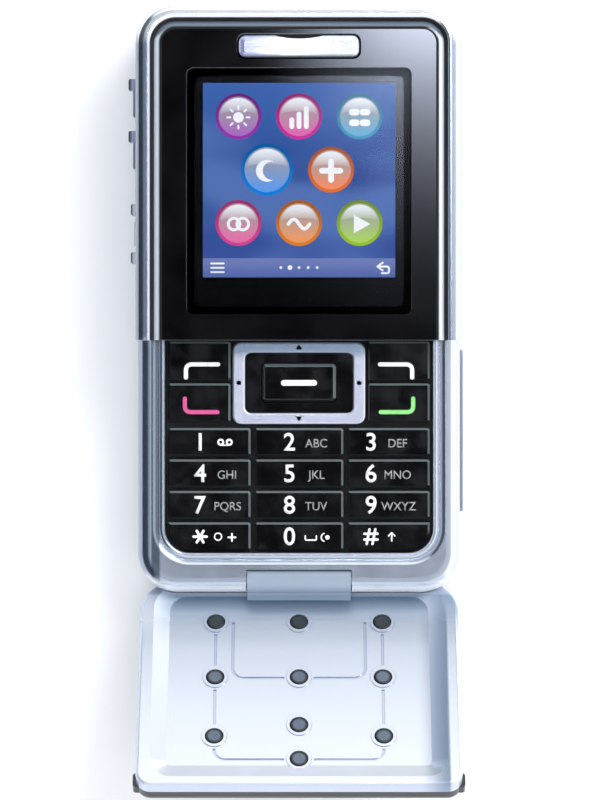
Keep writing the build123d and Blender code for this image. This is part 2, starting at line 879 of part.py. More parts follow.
# ---------------------------------------------------------------- keypad frame
frame_height = lower_thickness - split_z
bead_x = keypad_width / 2 + bead_r
bead_y = keypad_low_y - bead_r
flute_x = bead_x + bead_r + flute_past
flute_y = bead_y - bead_r - flute_past
with BuildPart() as lower_frame:
    with BuildSketch(Plane.XY.offset(split_z)):
        add(flat_plate(lower_width, bottom_y, seam_y, outline_r))
    extrude(amount=frame_height)
    fillet(lower_frame.edges().group_by(Axis.Z)[-1].sort_by(Axis.Y)[:-1], lower_edge_r)
    with BuildSketch(Plane.XY.offset(split_z)):
        add(flat_plate(keypad_width, keypad_low_y, seam_y, keypad_corner_r))
    extrude(amount=frame_height, mode=Mode.SUBTRACT)
    with BuildSketch(Plane.XY.offset(split_z)):
        add(
            flat_plate(
                deck_width + 2 * fixed_fit,
                deck_low_y - fixed_fit,
                seam_y,
                deck_corner_r - deck_ledge + fixed_fit,
            )
        )
    extrude(amount=deck_thickness + fixed_fit, mode=Mode.SUBTRACT)
    # shallow flute round the keypad, then a bead on its inner edge
    flute_z = lower_thickness + flute_r - flute_depth
    with BuildLine(Plane.XY.offset(flute_z)) as flute_line:
        FilletPolyline(
            (-flute_x, seam_y + flute_r),
            (-flute_x, flute_y),
            (flute_x, flute_y),
            (flute_x, seam_y + flute_r),
            radius=keypad_corner_r + flute_x - keypad_width / 2,
        )
    with BuildSketch(Plane((-flute_x, seam_y + flute_r, flute_z), z_dir=(0, -1, 0))):
        Circle(flute_r)
    sweep(path=flute_line.line, mode=Mode.SUBTRACT)
    bead_z = lower_thickness - bead_r
    with BuildLine(Plane.XY.offset(bead_z)) as bead_line:
        FilletPolyline(
            (-bead_x, seam_y),
            (-bead_x, bead_y),
            (bead_x, bead_y),
            (bead_x, seam_y),
            radius=keypad_corner_r + bead_r,
        )
    with BuildSketch(Plane((-bead_x, seam_y, bead_z), z_dir=(0, -1, 0))):
        Circle(bead_r)
    sweep(path=bead_line.line)
    add(hinge_pocket.part, mode=Mode.SUBTRACT)
    with BuildSketch(Plane.YZ.offset(-shaft_length / 2)):
        with Locations((hinge_y, hinge_z)):
            Circle(shaft_r)
    extrude(amount=shaft_length, mode=Mode.SUBTRACT)
    with Locations((-screw_x, low_screw_y, split_z), (screw_x, low_screw_y, split_z)):
        Cylinder(
            screw_r,
            low_head_z + screw_head_height + low_screw_length - split_z,
            align=ON_BASE,
            mode=Mode.SUBTRACT,
        )
save(lower_frame.part, "lower_frame")

# ---------------------------------------------------------------- display frame
frame_opening = flat_plate(
    upper_width - 2 * upper_band, seam_y, top_y - upper_band, 0, outline_r - upper_band
)
with BuildPart() as upper_frame:
    with BuildSketch(Plane.XY.offset(split_z)):
        add(flat_plate(upper_width, seam_y, top_y, 0, outline_r))
    extrude(amount=closed_thickness - split_z)
    fillet(upper_frame.edges().group_by(Axis.Z)[-1].sort_by(Axis.Y)[1:], frame_edge_r)
    with BuildSketch(Plane.XY.offset(split_z)):
        add(frame_opening)
    extrude(amount=closed_thickness - split_z, mode=Mode.SUBTRACT)
    with BuildSketch(Plane.XY.offset(closed_thickness - inner_bevel)):
        add(frame_opening)
    extrude(amount=inner_bevel, taper=-45, mode=Mode.SUBTRACT)
    # windows for the side keys and the connector cover, widened inside for their flanges
    for y, length in (
        (key_up_y, side_key_length),
        (key_down_y, side_key_length),
        (port_y, port_length),
    ):
        with Locations((upper_side_x, y, side_z)):
            Box(
                4 * upper_band,
                length + 2 * key_fit,
                side_height + 2 * key_fit,
                mode=Mode.SUBTRACT,
            )
    for y in (key_up_y, key_down_y):
        with Locations((frame_inner_x, y, side_z)):
            Box(
                2 * flange_pocket,
                side_key_length + 2 * (flange_lip + key_fit),
                side_height + 2 * (flange_lip + key_fit),
                mode=Mode.SUBTRACT,
            )
save(upper_frame.part, "upper_frame")

# ---------------------------------------------------------------- side keys and connector cover
flange_x = frame_inner_x - flange_pocket + fixed_fit
for label, y in (("side_key_up", key_up_y), ("side_key_down", key_down_y)):
    with BuildPart() as side_key:
        with Locations((upper_side_x - side_key_proud, y, side_z)):
            Box(
                flange_x - upper_side_x + side_key_proud,
                side_key_length,
                side_height,
                align=(Align.MIN, Align.CENTER, Align.CENTER),
            )
        fillet(side_key.edges().group_by(Axis.X)[0], side_edge_r)
        with Locations((upper_side_x - nub_proud, y + side_key_length / 2, side_z)):
            Box(
                nub_proud,
                nub_length,
                side_height,
                align=(Align.MIN, Align.MAX, Align.CENTER),
            )
        fillet(side_key.edges().group_by(Axis.X)[0], side_edge_r)
        with Locations((flange_x, y, side_z)):
            Box(
                flange_thickness,
                side_key_length + 2 * flange_lip,
                side_height + 2 * flange_lip,
                align=(Align.MIN, Align.CENTER, Align.CENTER),
            )
    save(side_key.part, label)

with BuildPart() as connector_cover:
    plug_x = frame_inner_x - fixed_fit
    with Locations((upper_side_x - port_proud, port_y, side_z)):
        Box(
            plug_x - upper_side_x + port_proud,
            port_length,
            side_height,
            align=(Align.MIN, Align.CENTER, Align.CENTER),
        )
    fillet(connector_cover.edges().group_by(Axis.X)[0], port_edge_r)
    for proud, length, spots in (
        (port_nub_proud, nub_length, (-1, 1)),
        (port_bump_proud, port_bump_length, (0,)),
    ):
        for spot in spots:
            nub_y = port_y + spot * (port_length - nub_length) / 2
            with Locations((upper_side_x - proud, nub_y, side_z)):
                Box(
                    proud,
                    length,
                    side_height - 4 * fixed_fit,
                    align=(Align.MIN, Align.CENTER, Align.CENTER),
                )
    fillet(connector_cover.edges().group_by(Axis.X)[0], side_edge_r)
save(connector_cover.part, "connector_cover")

# ---------------------------------------------------------------- card door
with BuildPart() as card_door:
    with BuildSketch(Plane.XY.offset(door_z - door_height / 2)):
        with Locations((door_pivot_x, door_pivot_y)):
            Circle(door_barrel_r)
        with Locations((door_outer_x, door_pivot_y)):
            Rectangle(door_thickness, door_length, align=(Align.MAX, Align.MIN))
    extrude(amount=door_height)
    fillet(
        card_door.edges().filter_by(Axis.Z).group_by(Axis.Y)[-1],
        door_end_r,
    )
    fillet(
        card_door.faces().filter_by(Axis.X).sort_by(Axis.X)[-1].edges().filter_by(Axis.Y),
        door_edge_r,
    )
    with Locations((door_pivot_x, door_pivot_y, door_z)):
        Cylinder(door_pin_r, door_height + 2 * door_pin_length)
save(card_door.part, "card_door")

# ---------------------------------------------------------------- display bezel, lens, module
with BuildPart() as display_bezel:
    with BuildSketch(Plane.XY.offset(bezel_z)):
        add(flat_plate(bezel_width, seam_y, bezel_top_y, 0, bezel_corner_r))
    extrude(amount=bezel_thickness)
    fillet(display_bezel.edges().group_by(Axis.Z)[-1].sort_by(Axis.Y)[1:], bezel_edge_r)
    with BuildSketch(Plane.XY.offset(bezel_z)):
        add(
            flat_plate(
                lens_width - 2 * lens_rim,
                lens_low_y + lens_rim,
                lens_top_y - lens_rim,
                lens_corner_r,
                lens_corner_r,
            )
        )
        with Locations((0, earpiece_y)):
            RectangleRounded(slot_width, slot_height, slot_r)
    extrude(amount=bezel_thickness, mode=Mode.SUBTRACT)
    with BuildSketch(Plane.XY.offset(lens_z)):
        add(
            flat_plate(
                lens_width + 2 * fixed_fit,
                lens_low_y - fixed_fit,
                lens_top_y + fixed_fit,
                lens_corner_r,
                lens_corner_r,
            )
        )
    extrude(amount=bezel_thickness, mode=Mode.SUBTRACT)
save(display_bezel.part, "display_bezel")

with BuildPart() as display_lens:
    with BuildSketch(Plane.XY.offset(lens_z)):
        add(flat_plate(lens_width, lens_low_y, lens_top_y, lens_corner_r, lens_corner_r))
    extrude(amount=lens_thickness)
    chamfer(display_lens.edges().group_by(Axis.Z)[-1], lens_edge)
save(display_lens.part, "display_lens")

with BuildPart() as lcd_module:
    with BuildSketch(Plane.XY.offset(module_z)):
        add(
            flat_plate(
                module_width, module_low_y, module_high_y, module_corner_r, module_corner_r
            )
        )
    extrude(amount=module_thickness)
    with BuildSketch(Plane.XY.offset(module_top)):
        add(
            flat_plate(
                screen_width + 2 * glass_margin,
                screen_low_y - glass_margin,
                screen_top_y + glass_margin,
                glass_corner_r,
                glass_corner_r,
            )
        )
    extrude(amount=glass_top - module_top)
save(lcd_module.part, "lcd_module")

# ---------------------------------------------------------------- earpiece
bar_width = slot_width - 2 * bar_gap
bar_height = slot_height - 2 * bar_gap
with BuildPart() as earpiece_cover:
    with BuildSketch(Plane.XY.offset(bezel_z + fixed_fit)):
        with Locations((0, earpiece_y)):
            RectangleRounded(bar_width, bar_height, slot_r - bar_gap / 2)
    extrude(amount=bezel_thickness)
    chamfer(
        earpiece_cover.edges().group_by(Axis.Z)[-1].sort_by(Axis.Y)[0],
        length=bar_low_drop,
        length2=bar_low_bevel,
        reference=earpiece_cover.faces().sort_by(Axis.Y)[0],
    )
    bow_r = bar_width**2 / (8 * bar_bow)
    with BuildSketch(Plane.XZ.offset(-earpiece_y - bar_height)):
        with Locations((0, bezel_top - bar_bow + bow_r)):
            Circle(bow_r)
    extrude(amount=2 * bar_height, mode=Mode.SUBTRACT)
    with BuildSketch(Plane.XY.offset(bezel_z)):
        with BuildLine():
            notch_ends = [
                (side * ear_notch_width / 2, earpiece_y + bar_height / 2) for side in (-1, 1)
            ]
            SagittaArc(*notch_ends, -ear_notch_depth)
            Line(*notch_ends)
        make_face()
    extrude(amount=2 * bezel_thickness, mode=Mode.SUBTRACT)
save(earpiece_cover.part, "earpiece_cover")

with BuildPart() as earpiece_receiver:
    with BuildSketch(Plane.XY.offset(pedestal_top + fixed_fit)):
        with Locations((0, earpiece_y)):
            SlotOverall(receiver_width, receiver_height)
    extrude(amount=receiver_thickness - 2 * fixed_fit)
    chamfer(earpiece_receiver.edges().group_by(Axis.Z)[-1], receiver_edge)
save(earpiece_receiver.part, "earpiece_receiver")

# ---------------------------------------------------------------- screws and hinge shaft
with BuildPart() as chassis_screws:
    for x, y, head_z, length in screw_places:
        with Locations((x, y, head_z)):
            Cylinder(screw_head_r, screw_head_height, align=ON_BASE)
            Box(
                cross_length,
                cross_width,
                cross_depth,
                align=ON_BASE,
                mode=Mode.SUBTRACT,
            )
            Box(
                cross_width,
                cross_length,
                cross_depth,
                align=ON_BASE,
                mode=Mode.SUBTRACT,
            )
        with Locations((x, y, head_z + screw_head_height)):
            Cylinder(screw_r, length, align=ON_BASE)
save(chassis_screws.part, "chassis_screws")

with BuildPart() as hinge_shaft:
    with BuildSketch(Plane.YZ.offset(-shaft_length / 2)):
        with Locations((hinge_y, hinge_z)):
            Circle(shaft_r)
    extrude(amount=shaft_length)
    chamfer(hinge_shaft.edges().group_by(Axis.X)[0], shaft_edge)
    chamfer(hinge_shaft.edges().group_by(Axis.X)[-1], shaft_edge)
save(hinge_shaft.part, "hinge_shaft")

# ---------------------------------------------------------------- keys
for label, (column, row) in number_keys.items():
    x, y = number_key_place(column, row)
    width = side_key_width if column else middle_key_width
    with BuildPart() as key:
        with BuildSketch(Plane.XY.offset(key_cap_z)) as cap:
            with Locations((x, y)):
                Rectangle(width, key_height)
            corners = cap.vertices()
            if column and row == 0:
                # the two end keys follow the keypad opening's round corner
                corners = corners.sort_by_distance((2 * column * side_key_x, bottom_y))
                fillet(corners[0], keypad_corner_r - key_side_gap)
                corners = cap.vertices().sort_by_distance((0, 0))[:2]
            fillet(corners, key_corner_r)
        extrude(amount=key_top - key_cap_z)
        chamfer(key.edges().group_by(Axis.Z)[-1], key_bevel)
        with Locations((x, y, key_stem_z)):
            Cylinder(stem_r, key_cap_z - key_stem_z, align=ON_BASE)
    save(key.part, label)

for label, (side, row) in function_keys.items():
    x, y = function_key_place(side, row)
    with BuildPart() as key:
        with BuildSketch(Plane.XY.offset(key_cap_z)):
            with Locations((x, y)):
                RectangleRounded(function_key_width, function_height, key_corner_r)
        extrude(amount=key_top - key_cap_z)
        chamfer(key.edges().group_by(Axis.Z)[-1], key_bevel)
        with Locations((x, y, key_stem_z)):
            Cylinder(stem_r, key_cap_z - key_stem_z, align=ON_BASE)
    save(key.part, label)

# ---------------------------------------------------------------- navigation ring
plate_width = ring_width - 2 * ring_rim_x
plate_height = ring_height - 2 * ring_rim_y
with BuildPart() as nav_ring:
    with BuildSketch(Plane.XY.offset(ring_z)):
        with Locations((0, nav_y)):
            RectangleRounded(ring_width, ring_height, ring_outer_r)
            RectangleRounded(plate_width, plate_height, ring_inner_r, mode=Mode.SUBTRACT)
    extrude(amount=ring_thickness)
    fillet(nav_ring.edges().group_by(Axis.Z)[-1], ring_edge_r)
save(nav_ring.part, "nav_ring")

with BuildPart() as nav_plate:
    with BuildSketch(Plane.XY.offset(ring_z)):
        with Locations((0, nav_y)):
            RectangleRounded(plate_width, plate_height, ring_inner_r)
            RectangleRounded(
                ok_width + 2 * (key_fit + fixed_fit),
                ok_height + 2 * (key_fit + fixed_fit),
                ok_corner_r + key_fit,
                mode=Mode.SUBTRACT,
            )
    extrude(amount=ring_thickness - plate_sink)
save(nav_plate.part, "nav_plate")

with BuildPart() as nav_rocker:
    with BuildSketch(Plane.XY.offset(rocker_z)):
        with Locations((0, nav_y)):
            RectangleRounded(
                ring_width - 2 * rocker_inset, ring_height - 2 * rocker_inset, ring_outer_r
            )
            RectangleRounded(
                ok_width + 2 * rocker_window_gap,
                ok_height + 2 * rocker_window_gap,
                ok_corner_r,
                mode=Mode.SUBTRACT,
            )
    extrude(amount=rocker_thickness)
    with Locations(*[(x, y, key_stem_z) for x, y in foot_places]):
        Cylinder(foot_r, rocker_z - key_stem_z, align=ON_BASE)
save(nav_rocker.part, "nav_rocker")

with BuildPart() as nav_centre:
    with BuildSketch(Plane.XY.offset(key_cap_z)):
        with Locations((0, nav_y)):
            RectangleRounded(ok_width, ok_height, ok_corner_r)
    extrude(amount=key_top - key_cap_z)
    chamfer(nav_centre.edges().group_by(Axis.Z)[-1], ok_bevel)
    with Locations((0, nav_y, key_stem_z)):
        Cylinder(stem_r, key_cap_z - key_stem_z, align=ON_BASE)
save(nav_centre.part, "nav_centre")

# ---------------------------------------------------------------- flip
# The flip is drawn open, in its own plane through the hinge axis: x as in the phone, u from the
# axis to the free end, and w through its thickness, from the keypad side to the outer face.
swing = radians(open_angle)
flip = Plane(
    origin=(0, hinge_y, hinge_z),
    x_dir=(1, 0, 0),
    z_dir=(0, -sin(swing), cos(swing)),
)
flip_normal = Axis(flip.origin, flip.z_dir)
body_clearance = flat_plate(
    lower_width + 2 * hinge_gap, bottom_y - hinge_gap, seam_y, outline_r + hinge_gap
)
plunger_places = list(plungers.values())

# Fine grooves in the dish floor that join the bosses.
track_inner = plunger_side_x - track_inset
track_far = plunger_ok_u + track_past
track_near = plunger_middle_row + track_past
track_stop = boss_r + track_clear
straight_tracks = [
    (side * plunger_side_x, low + track_stop, high - track_stop)
    for side in (-1, 1)
    for low, high in (
        (plunger_low_row, plunger_middle_row),
        (plunger_middle_row, plunger_call_row),
    )
]
bent_tracks = [
    (side * x, low, high)
    for side in (-1, 1)
    for x, low, high in (
        (plunger_side_x, plunger_call_row + track_stop, track_far),
        (track_inner, plunger_low_row, track_near),
    )
]

with BuildPart() as flip_inner_cover:
    with BuildSketch(flip.offset(rim_w)):
        add(
            flat_plate(
                inner_cover_width, flip_low_u, flip_high_u, outline_r, free_corner_r
            )
        )
    extrude(amount=inner_cover_depth)
    fillet(flip_inner_cover.edges().group_by(flip_normal)[0], rim_edge_r)
    with BuildSketch(flip.offset(rim_w)):
        add(
            flat_plate(
                inner_cover_width - 2 * dish_side,
                dish_low_u,
                flip_high_u - dish_free_end,
                dish_corner_r,
                dish_corner_r - dish_side,
            )
        )
    extrude(amount=dish_depth, taper=dish_slope, mode=Mode.SUBTRACT)
    with BuildSketch(flip.offset(floor_w - boss_height)):
        with Locations(*plunger_places):
            Circle(boss_r)
    extrude(amount=boss_height + fixed_fit)
    with BuildSketch(flip.offset(floor_w)):
        for x, low, high in straight_tracks:
            with BuildLine():
                Line((x, low), (x, high))
        for x, low, high in bent_tracks:
            with BuildLine():
                stop_x = track_stop if x > 0 else -track_stop
                FilletPolyline((x, low), (x, high), (stop_x, high), radius=track_bend)
        trace(line_width=track_width)
    extrude(amount=track_depth, mode=Mode.SUBTRACT)
    with BuildSketch(flip.offset(rim_w)):
        with Locations(*plunger_places):
            Circle(plunger_r + slide_fit)
    extrude(amount=inner_cover_depth, mode=Mode.SUBTRACT)
    with BuildSketch():
        add(body_clearance)
    extrude(amount=closed_thickness, mode=Mode.SUBTRACT)
    # knuckle and neck between the body's two cheeks
    knuckle_plane = Plane(
        origin=(-knuckle_width / 2, hinge_y, hinge_z), x_dir=flip.y_dir, z_dir=(1, 0, 0)
    )
    with BuildSketch(knuckle_plane):
        with BuildLine():
            neck_arc = CenterArc((0, 0), neck_r, neck_from, neck_sweep)
            Line((0, 0), neck_arc @ 0)
            Line(neck_arc @ 1, (0, 0))
        make_face()
        Circle(knuckle_r)
    extrude(amount=knuckle_width)
    with BuildSketch(knuckle_plane):
        Circle(shaft_r + running_fit)
    extrude(amount=knuckle_width, mode=Mode.SUBTRACT)
save(flip_inner_cover.part, "flip_inner_cover")

with BuildPart() as flip_outer_cover:
    with BuildSketch(flip.offset(split_w)):
        add(
            flat_plate(
                inner_cover_width, flip_low_u, flip_high_u, outline_r, free_corner_r
            )
        )
    extrude(amount=outer_w - split_w)
    fillet(flip_outer_cover.edges().group_by(flip_normal)[-1], outer_edge_r)
    with BuildSketch(flip.offset(split_w)):
        add(
            flat_plate(
                lug_width, lug_high_u - lug_length, lug_high_u, lug_corner_r, lug_corner_r
            )
        )
    extrude(amount=lug_thickness)
    with BuildSketch(flip.offset(cap_floor_w)):
        with Locations(*plunger_places):
            Circle(plunger_cap_r + slide_fit)
    extrude(amount=outer_w - cap_floor_w, mode=Mode.SUBTRACT)
    with BuildSketch(flip.offset(split_w)):
        with Locations(*plunger_places):
            Circle(plunger_r + slide_fit)
    extrude(amount=outer_w - split_w, mode=Mode.SUBTRACT)
    with BuildSketch():
        add(body_clearance)
    extrude(amount=closed_thickness, mode=Mode.SUBTRACT)
save(flip_outer_cover.part, "flip_outer_cover")

for label, place in plungers.items():
    with BuildPart() as plunger:
        with BuildSketch(flip.offset(tip_w)):
            with Locations(place):
                Circle(plunger_r)
        extrude(amount=cap_w - tip_w)
        fillet(plunger.edges().group_by(flip_normal)[0], plunger_edge_r)
        with BuildSketch(flip.offset(cap_w)):
            with Locations(place):
                Circle(plunger_cap_r)
        extrude(amount=plunger_cap_thickness)
        fillet(plunger.edges().group_by(flip_normal)[-1], plunger_edge_r)
    save(plunger.part, label)
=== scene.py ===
"""Looks of a flip phone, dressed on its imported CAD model.

Lengths are in millimetres, apart from those of the studio round the phone, which are in metres.
"""

import json
import math

import bmesh
import bpy
from mathutils import Matrix, Vector


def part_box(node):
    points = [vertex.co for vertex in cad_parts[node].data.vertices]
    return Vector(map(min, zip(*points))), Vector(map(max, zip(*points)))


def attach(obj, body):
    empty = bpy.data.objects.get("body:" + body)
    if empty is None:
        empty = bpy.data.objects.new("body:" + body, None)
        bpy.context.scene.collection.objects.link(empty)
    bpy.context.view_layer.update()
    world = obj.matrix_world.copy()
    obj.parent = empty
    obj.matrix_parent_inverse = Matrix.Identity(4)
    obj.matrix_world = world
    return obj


MM = 0.001
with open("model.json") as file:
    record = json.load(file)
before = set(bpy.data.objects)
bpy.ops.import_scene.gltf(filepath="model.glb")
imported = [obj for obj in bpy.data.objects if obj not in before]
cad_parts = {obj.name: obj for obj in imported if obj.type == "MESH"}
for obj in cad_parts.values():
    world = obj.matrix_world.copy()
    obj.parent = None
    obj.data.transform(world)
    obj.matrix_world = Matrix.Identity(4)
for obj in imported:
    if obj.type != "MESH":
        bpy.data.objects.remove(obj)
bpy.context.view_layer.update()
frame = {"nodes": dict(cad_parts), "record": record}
scene = bpy.context.scene


def sides_of(node):
    """Left, right, near and far side of a CAD node seen from above, in millimetres."""
    low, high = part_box(node)
    return low.x / MM, high.x / MM, low.y / MM, high.y / MM


def middle_of(node):
    """Middle of a CAD node seen from above, in millimetres."""
    left, right, near, far = sides_of(node)
    return (left + right) / 2, (near + far) / 2


def top_of(node):
    """Height of a CAD node's highest point, in millimetres."""
    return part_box(node)[1].z / MM


def bottom_of(node):
    """Height of a CAD node's lowest point, in millimetres."""
    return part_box(node)[0].z / MM


# ---------------------------------------------------------------- camera
CAMERA_PLACE = (0.14, -14.6, 598.0)
SENSOR_WIDTH = 36.0
FOCAL_LENGTH = 182.2
NEAREST_SEEN = 10.0

camera_data = bpy.data.cameras.new("photo_camera")
camera_data.sensor_width = SENSOR_WIDTH
camera_data.lens = FOCAL_LENGTH
camera_data.clip_start = NEAREST_SEEN * MM
camera = bpy.data.objects.new("photo_camera", camera_data)
camera.location = [value * MM for value in CAMERA_PLACE]
scene.collection.objects.link(camera)
scene.camera = camera
scene.view_settings.view_transform = "Standard"


# ---------------------------------------------------------------- materials
class Finish:
    """A procedural material on one Principled shader, with nodes laid by short calls."""

    def __init__(self, name, color, roughness, metallic=0.0, **sockets):
        self.material = bpy.data.materials.new(name)
        self.material.use_nodes = True
        self.material.diffuse_color = (*color, 1.0)
        self.tree = self.material.node_tree
        self.shader = self.tree.nodes["Principled BSDF"]
        self.set("Base Color", (*color, 1.0))
        self.set("Roughness", roughness)
        self.set("Metallic", metallic)
        for socket, value in sockets.items():
            self.set(socket.replace("_", " "), value)
        coordinates = self.add("ShaderNodeTexCoord")
        self.place = coordinates.outputs["Object"]
        self.own_normal = coordinates.outputs["Normal"]
        self.in_box = coordinates.outputs["Generated"]

    def set(self, socket, value):
        self.shader.inputs[socket].default_value = value

    def feed(self, socket, output):
        """Lets a socket of the shader follow a node's output."""
        self.link(output, self.shader.inputs[socket])

    def add(self, kind, **values):
        node = self.tree.nodes.new(kind)
        for name, value in values.items():
            setattr(node, name, value)
        return node

    def link(self, output, socket):
        self.tree.links.new(output, socket)

    def fill(self, socket, value):
        """Gives a node's socket a number, a colour, or another node's output to follow."""
        if isinstance(value, (int, float)):
            socket.default_value = value
        elif isinstance(value, tuple):
            socket.default_value = (*value, 1.0)
        else:
            self.link(value, socket)

    # values that vary over the surface
    def noise(self, scale, detail=3.0, stretch=(1, 1, 1)):
        """Noise whose features are about 1/scale millimetres wide."""
        place = self.place
        if stretch != (1, 1, 1):
            mapping = self.add("ShaderNodeMapping")
            mapping.inputs["Scale"].default_value = stretch
            self.link(place, mapping.inputs["Vector"])
            place = mapping.outputs["Vector"]
        node = self.add("ShaderNodeTexNoise")
        node.inputs["Scale"].default_value = scale / MM
        node.inputs["Detail"].default_value = detail
        self.link(place, node.inputs["Vector"])
        return node.outputs["Fac"]

    def cells(self, scale):
        """Random value of each cell, about 1/scale millimetres wide."""
        node = self.add("ShaderNodeTexVoronoi")
        node.inputs["Scale"].default_value = scale / MM
        self.link(self.place, node.inputs["Vector"])
        return node.outputs["Color"]

    def along(self, axis):
        """Position along one axis, in metres."""
        split = self.add("ShaderNodeSeparateXYZ")
        self.link(self.place, split.inputs[0])
        return split.outputs[axis]

    def facing(self, direction):
        """How far the surface faces a direction of its own piece: 1 straight on, 0 side on."""
        dot = self.add("ShaderNodeVectorMath", operation="DOT_PRODUCT")
        self.link(self.own_normal, dot.inputs[0])
        dot.inputs[1].default_value = direction
        return dot.outputs["Value"]

    def off_axis(self, node, axis, shift):
        """Distance in metres from the middle line of a round CAD node.

        The line runs along axis, and lies shift away from the middle of the node's box.
        """
        low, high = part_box(node)
        place = self.add("ShaderNodeVectorMath", operation="MULTIPLY_ADD")
        self.link(self.in_box, place.inputs[0])
        place.inputs[1].default_value = high - low
        place.inputs[2].default_value = (low - high) / 2 - shift
        sideways = self.add("ShaderNodeVectorMath", operation="CROSS_PRODUCT")
        self.link(place.outputs["Vector"], sideways.inputs[0])
        sideways.inputs[1].default_value = axis
        length = self.add("ShaderNodeVectorMath", operation="LENGTH")
        self.link(sideways.outputs["Vector"], length.inputs[0])
        return length.outputs["Value"]

    def edges(self, width):
        """0 on flat ground and up to 1 on edges, within width millimetres of them."""
        bevel = self.add("ShaderNodeBevel", samples=4)
        bevel.inputs["Radius"].default_value = width * MM
        here = self.add("ShaderNodeNewGeometry")
        dot = self.add("ShaderNodeVectorMath", operation="DOT_PRODUCT")
        self.link(bevel.outputs["Normal"], dot.inputs[0])
        self.link(here.outputs["Normal"], dot.inputs[1])
        return self.span(dot.outputs["Value"], 0.94, 0.72)

    def shade_in_hollows(self, reach):
        """A mask for painted shade: 0 in the open and up to 1 in grooves and corners, within reach
        millimetres.
        """
        occlusion = self.add("ShaderNodeAmbientOcclusion", samples=8, only_local=True)
        occlusion.inputs["Distance"].default_value = reach * MM
        return self.span(occlusion.outputs["AO"], 0.95, 0.6)

    # values made from others
    def span(self, value, start, end, to_start=0.0, to_end=1.0, kind="SMOOTHSTEP"):
        """Runs from to_start to to_end while a value runs from start to end."""
        node = self.add("ShaderNodeMapRange", interpolation_type=kind)
        self.link(value, node.inputs["Value"])
        numbers = {"From Min": start, "From Max": end, "To Min": to_start, "To Max": to_end}
        for socket, number in numbers.items():
            node.inputs[socket].default_value = number
        return node.outputs["Result"]

    def over(self, axis, start, end, to_start=0.0, to_end=1.0):
        """Runs from to_start to to_end between two places on an axis, in millimetres."""
        return self.span(self.along(axis), start * MM, end * MM, to_start, to_end)

    def toward(self, direction, start, end):
        """Runs from 0 to 1 as what facing() gives runs from start to end."""
        return self.span(self.facing(direction), start, end)

    def math(self, operation, first, second):
        node = self.add("ShaderNodeMath", operation=operation)
        for socket, value in zip(node.inputs, (first, second)):
            self.fill(socket, value)
        return node.outputs[0]

    def both(self, first, second):
        """1 only where both masks are 1."""
        return self.math("MULTIPLY", first, second)

    def ramp(self, value, *stops):
        node = self.add("ShaderNodeValToRGB")
        self.link(value, node.inputs["Fac"])
        elements = node.color_ramp.elements
        while len(elements) < len(stops):
            elements.new(0.5)
        for element, (position, color) in zip(elements, stops):
            element.position = position
            element.color = (*color, 1.0)
        return node.outputs["Color"]

    def blend(self, factor, first, second, mode="MIX"):
        node = self.add("ShaderNodeMix", data_type="RGBA", blend_type=mode)
        sockets = (node.inputs["Factor"], node.inputs[6], node.inputs[7])
        for socket, value in zip(sockets, (factor, first, second)):
            self.fill(socket, value)
        return node.outputs[2]

    # what the shader is fed with
    def color(self, output):
        self.feed("Base Color", output)
        return self

    def tint(self, mask, tone):
        """Paints a tone over the base colour, where the mask is 1."""
        painted = self.shader.inputs["Base Color"].links[0].from_socket
        return self.color(self.blend(mask, painted, tone))

    def rough(self, value, low, high):
        self.feed("Roughness", self.span(value, 0.3, 0.7, low, high))
        return self

    def bump(self, height, depth, strength=1.0):
        """Bump from a height output, depth in millimetres."""
        node = self.add("ShaderNodeBump")
        node.inputs["Strength"].default_value = strength
        node.inputs["Distance"].default_value = depth * MM
        self.link(height, node.inputs["Height"])
        self.feed("Normal", node.outputs["Normal"])
        return self


def shade(color, factor, lift=0.0):
    """A colour times factor plus lift, at most white."""
    return tuple(min(1.0, value * factor + lift) for value in color)


def lacquer(name, color, dark, roughness, metallic=0.95, cloud=0.02):
    """Silver lacquer: fine flakes, slow drift of tone, faint orange peel, and edges rubbed brighter."""
    finish = Finish(name, color, roughness, metallic)
    drift = finish.ramp(finish.noise(0.05, 3.0), (0.3, dark), (0.7, color))
    flakes = finish.ramp(finish.cells(16.0), (0.0, (0.96, 0.96, 0.96)), (1.0, WHITE))
    tone = finish.blend(0.7, drift, flakes, "MULTIPLY")
    rubbed = finish.span(finish.noise(0.3, 2.0), 0.4, 0.7, 0.0, 0.08)
    rubbed_edge = finish.both(finish.edges(0.1), rubbed)
    finish.color(finish.blend(rubbed_edge, tone, (0.92, 0.93, 0.95)))
    finish.rough(finish.noise(0.3, 4.0), roughness - cloud, roughness + cloud)
    return finish.bump(finish.noise(0.8, 1.0), 0.0006, 0.5)


def moulded(name, color, roughness, grain, depth, coat=0.0, edge_wear_and_painted_light=None, edge=0.1):
    """Moulded plastic: fine grain, cloudy gloss, and an edge tone: rubbed lighter as wear by default;
    callers may give painted light.
    """
    finish = Finish(name, color, roughness, 0.0, Coat_Weight=coat, Coat_Roughness=0.03)
    tone = finish.ramp(finish.noise(0.15, 5.0), (0.3, color), (0.75, shade(color, 1.35, 0.004)))
    # edge tone: wear by default; the keys give a painted highlight here, the plungers painted shade
    finish.color(finish.blend(finish.edges(edge), tone, edge_wear_and_painted_light or shade(color, 2.0, 0.02)))
    finish.rough(finish.noise(0.35, 6.0), max(0.02, roughness - 0.05), roughness + 0.06)
    return finish.bump(finish.noise(grain, 3.0), depth, 0.6)


def turned(name, color, roughness, stretch=(1, 1, 1), depth=0.006, metallic=1.0, marked=0.8):
    """Bare metal with fine tool marks."""
    finish = Finish(name, color, roughness, metallic)
    marks = finish.noise(4.0, 4.0, stretch)
    finish.color(finish.ramp(marks, (0.3, shade(color, marked)), (0.7, color)))
    finish.rough(marks, roughness - 0.05, roughness + 0.1)
    return finish.bump(marks, depth, 0.5)


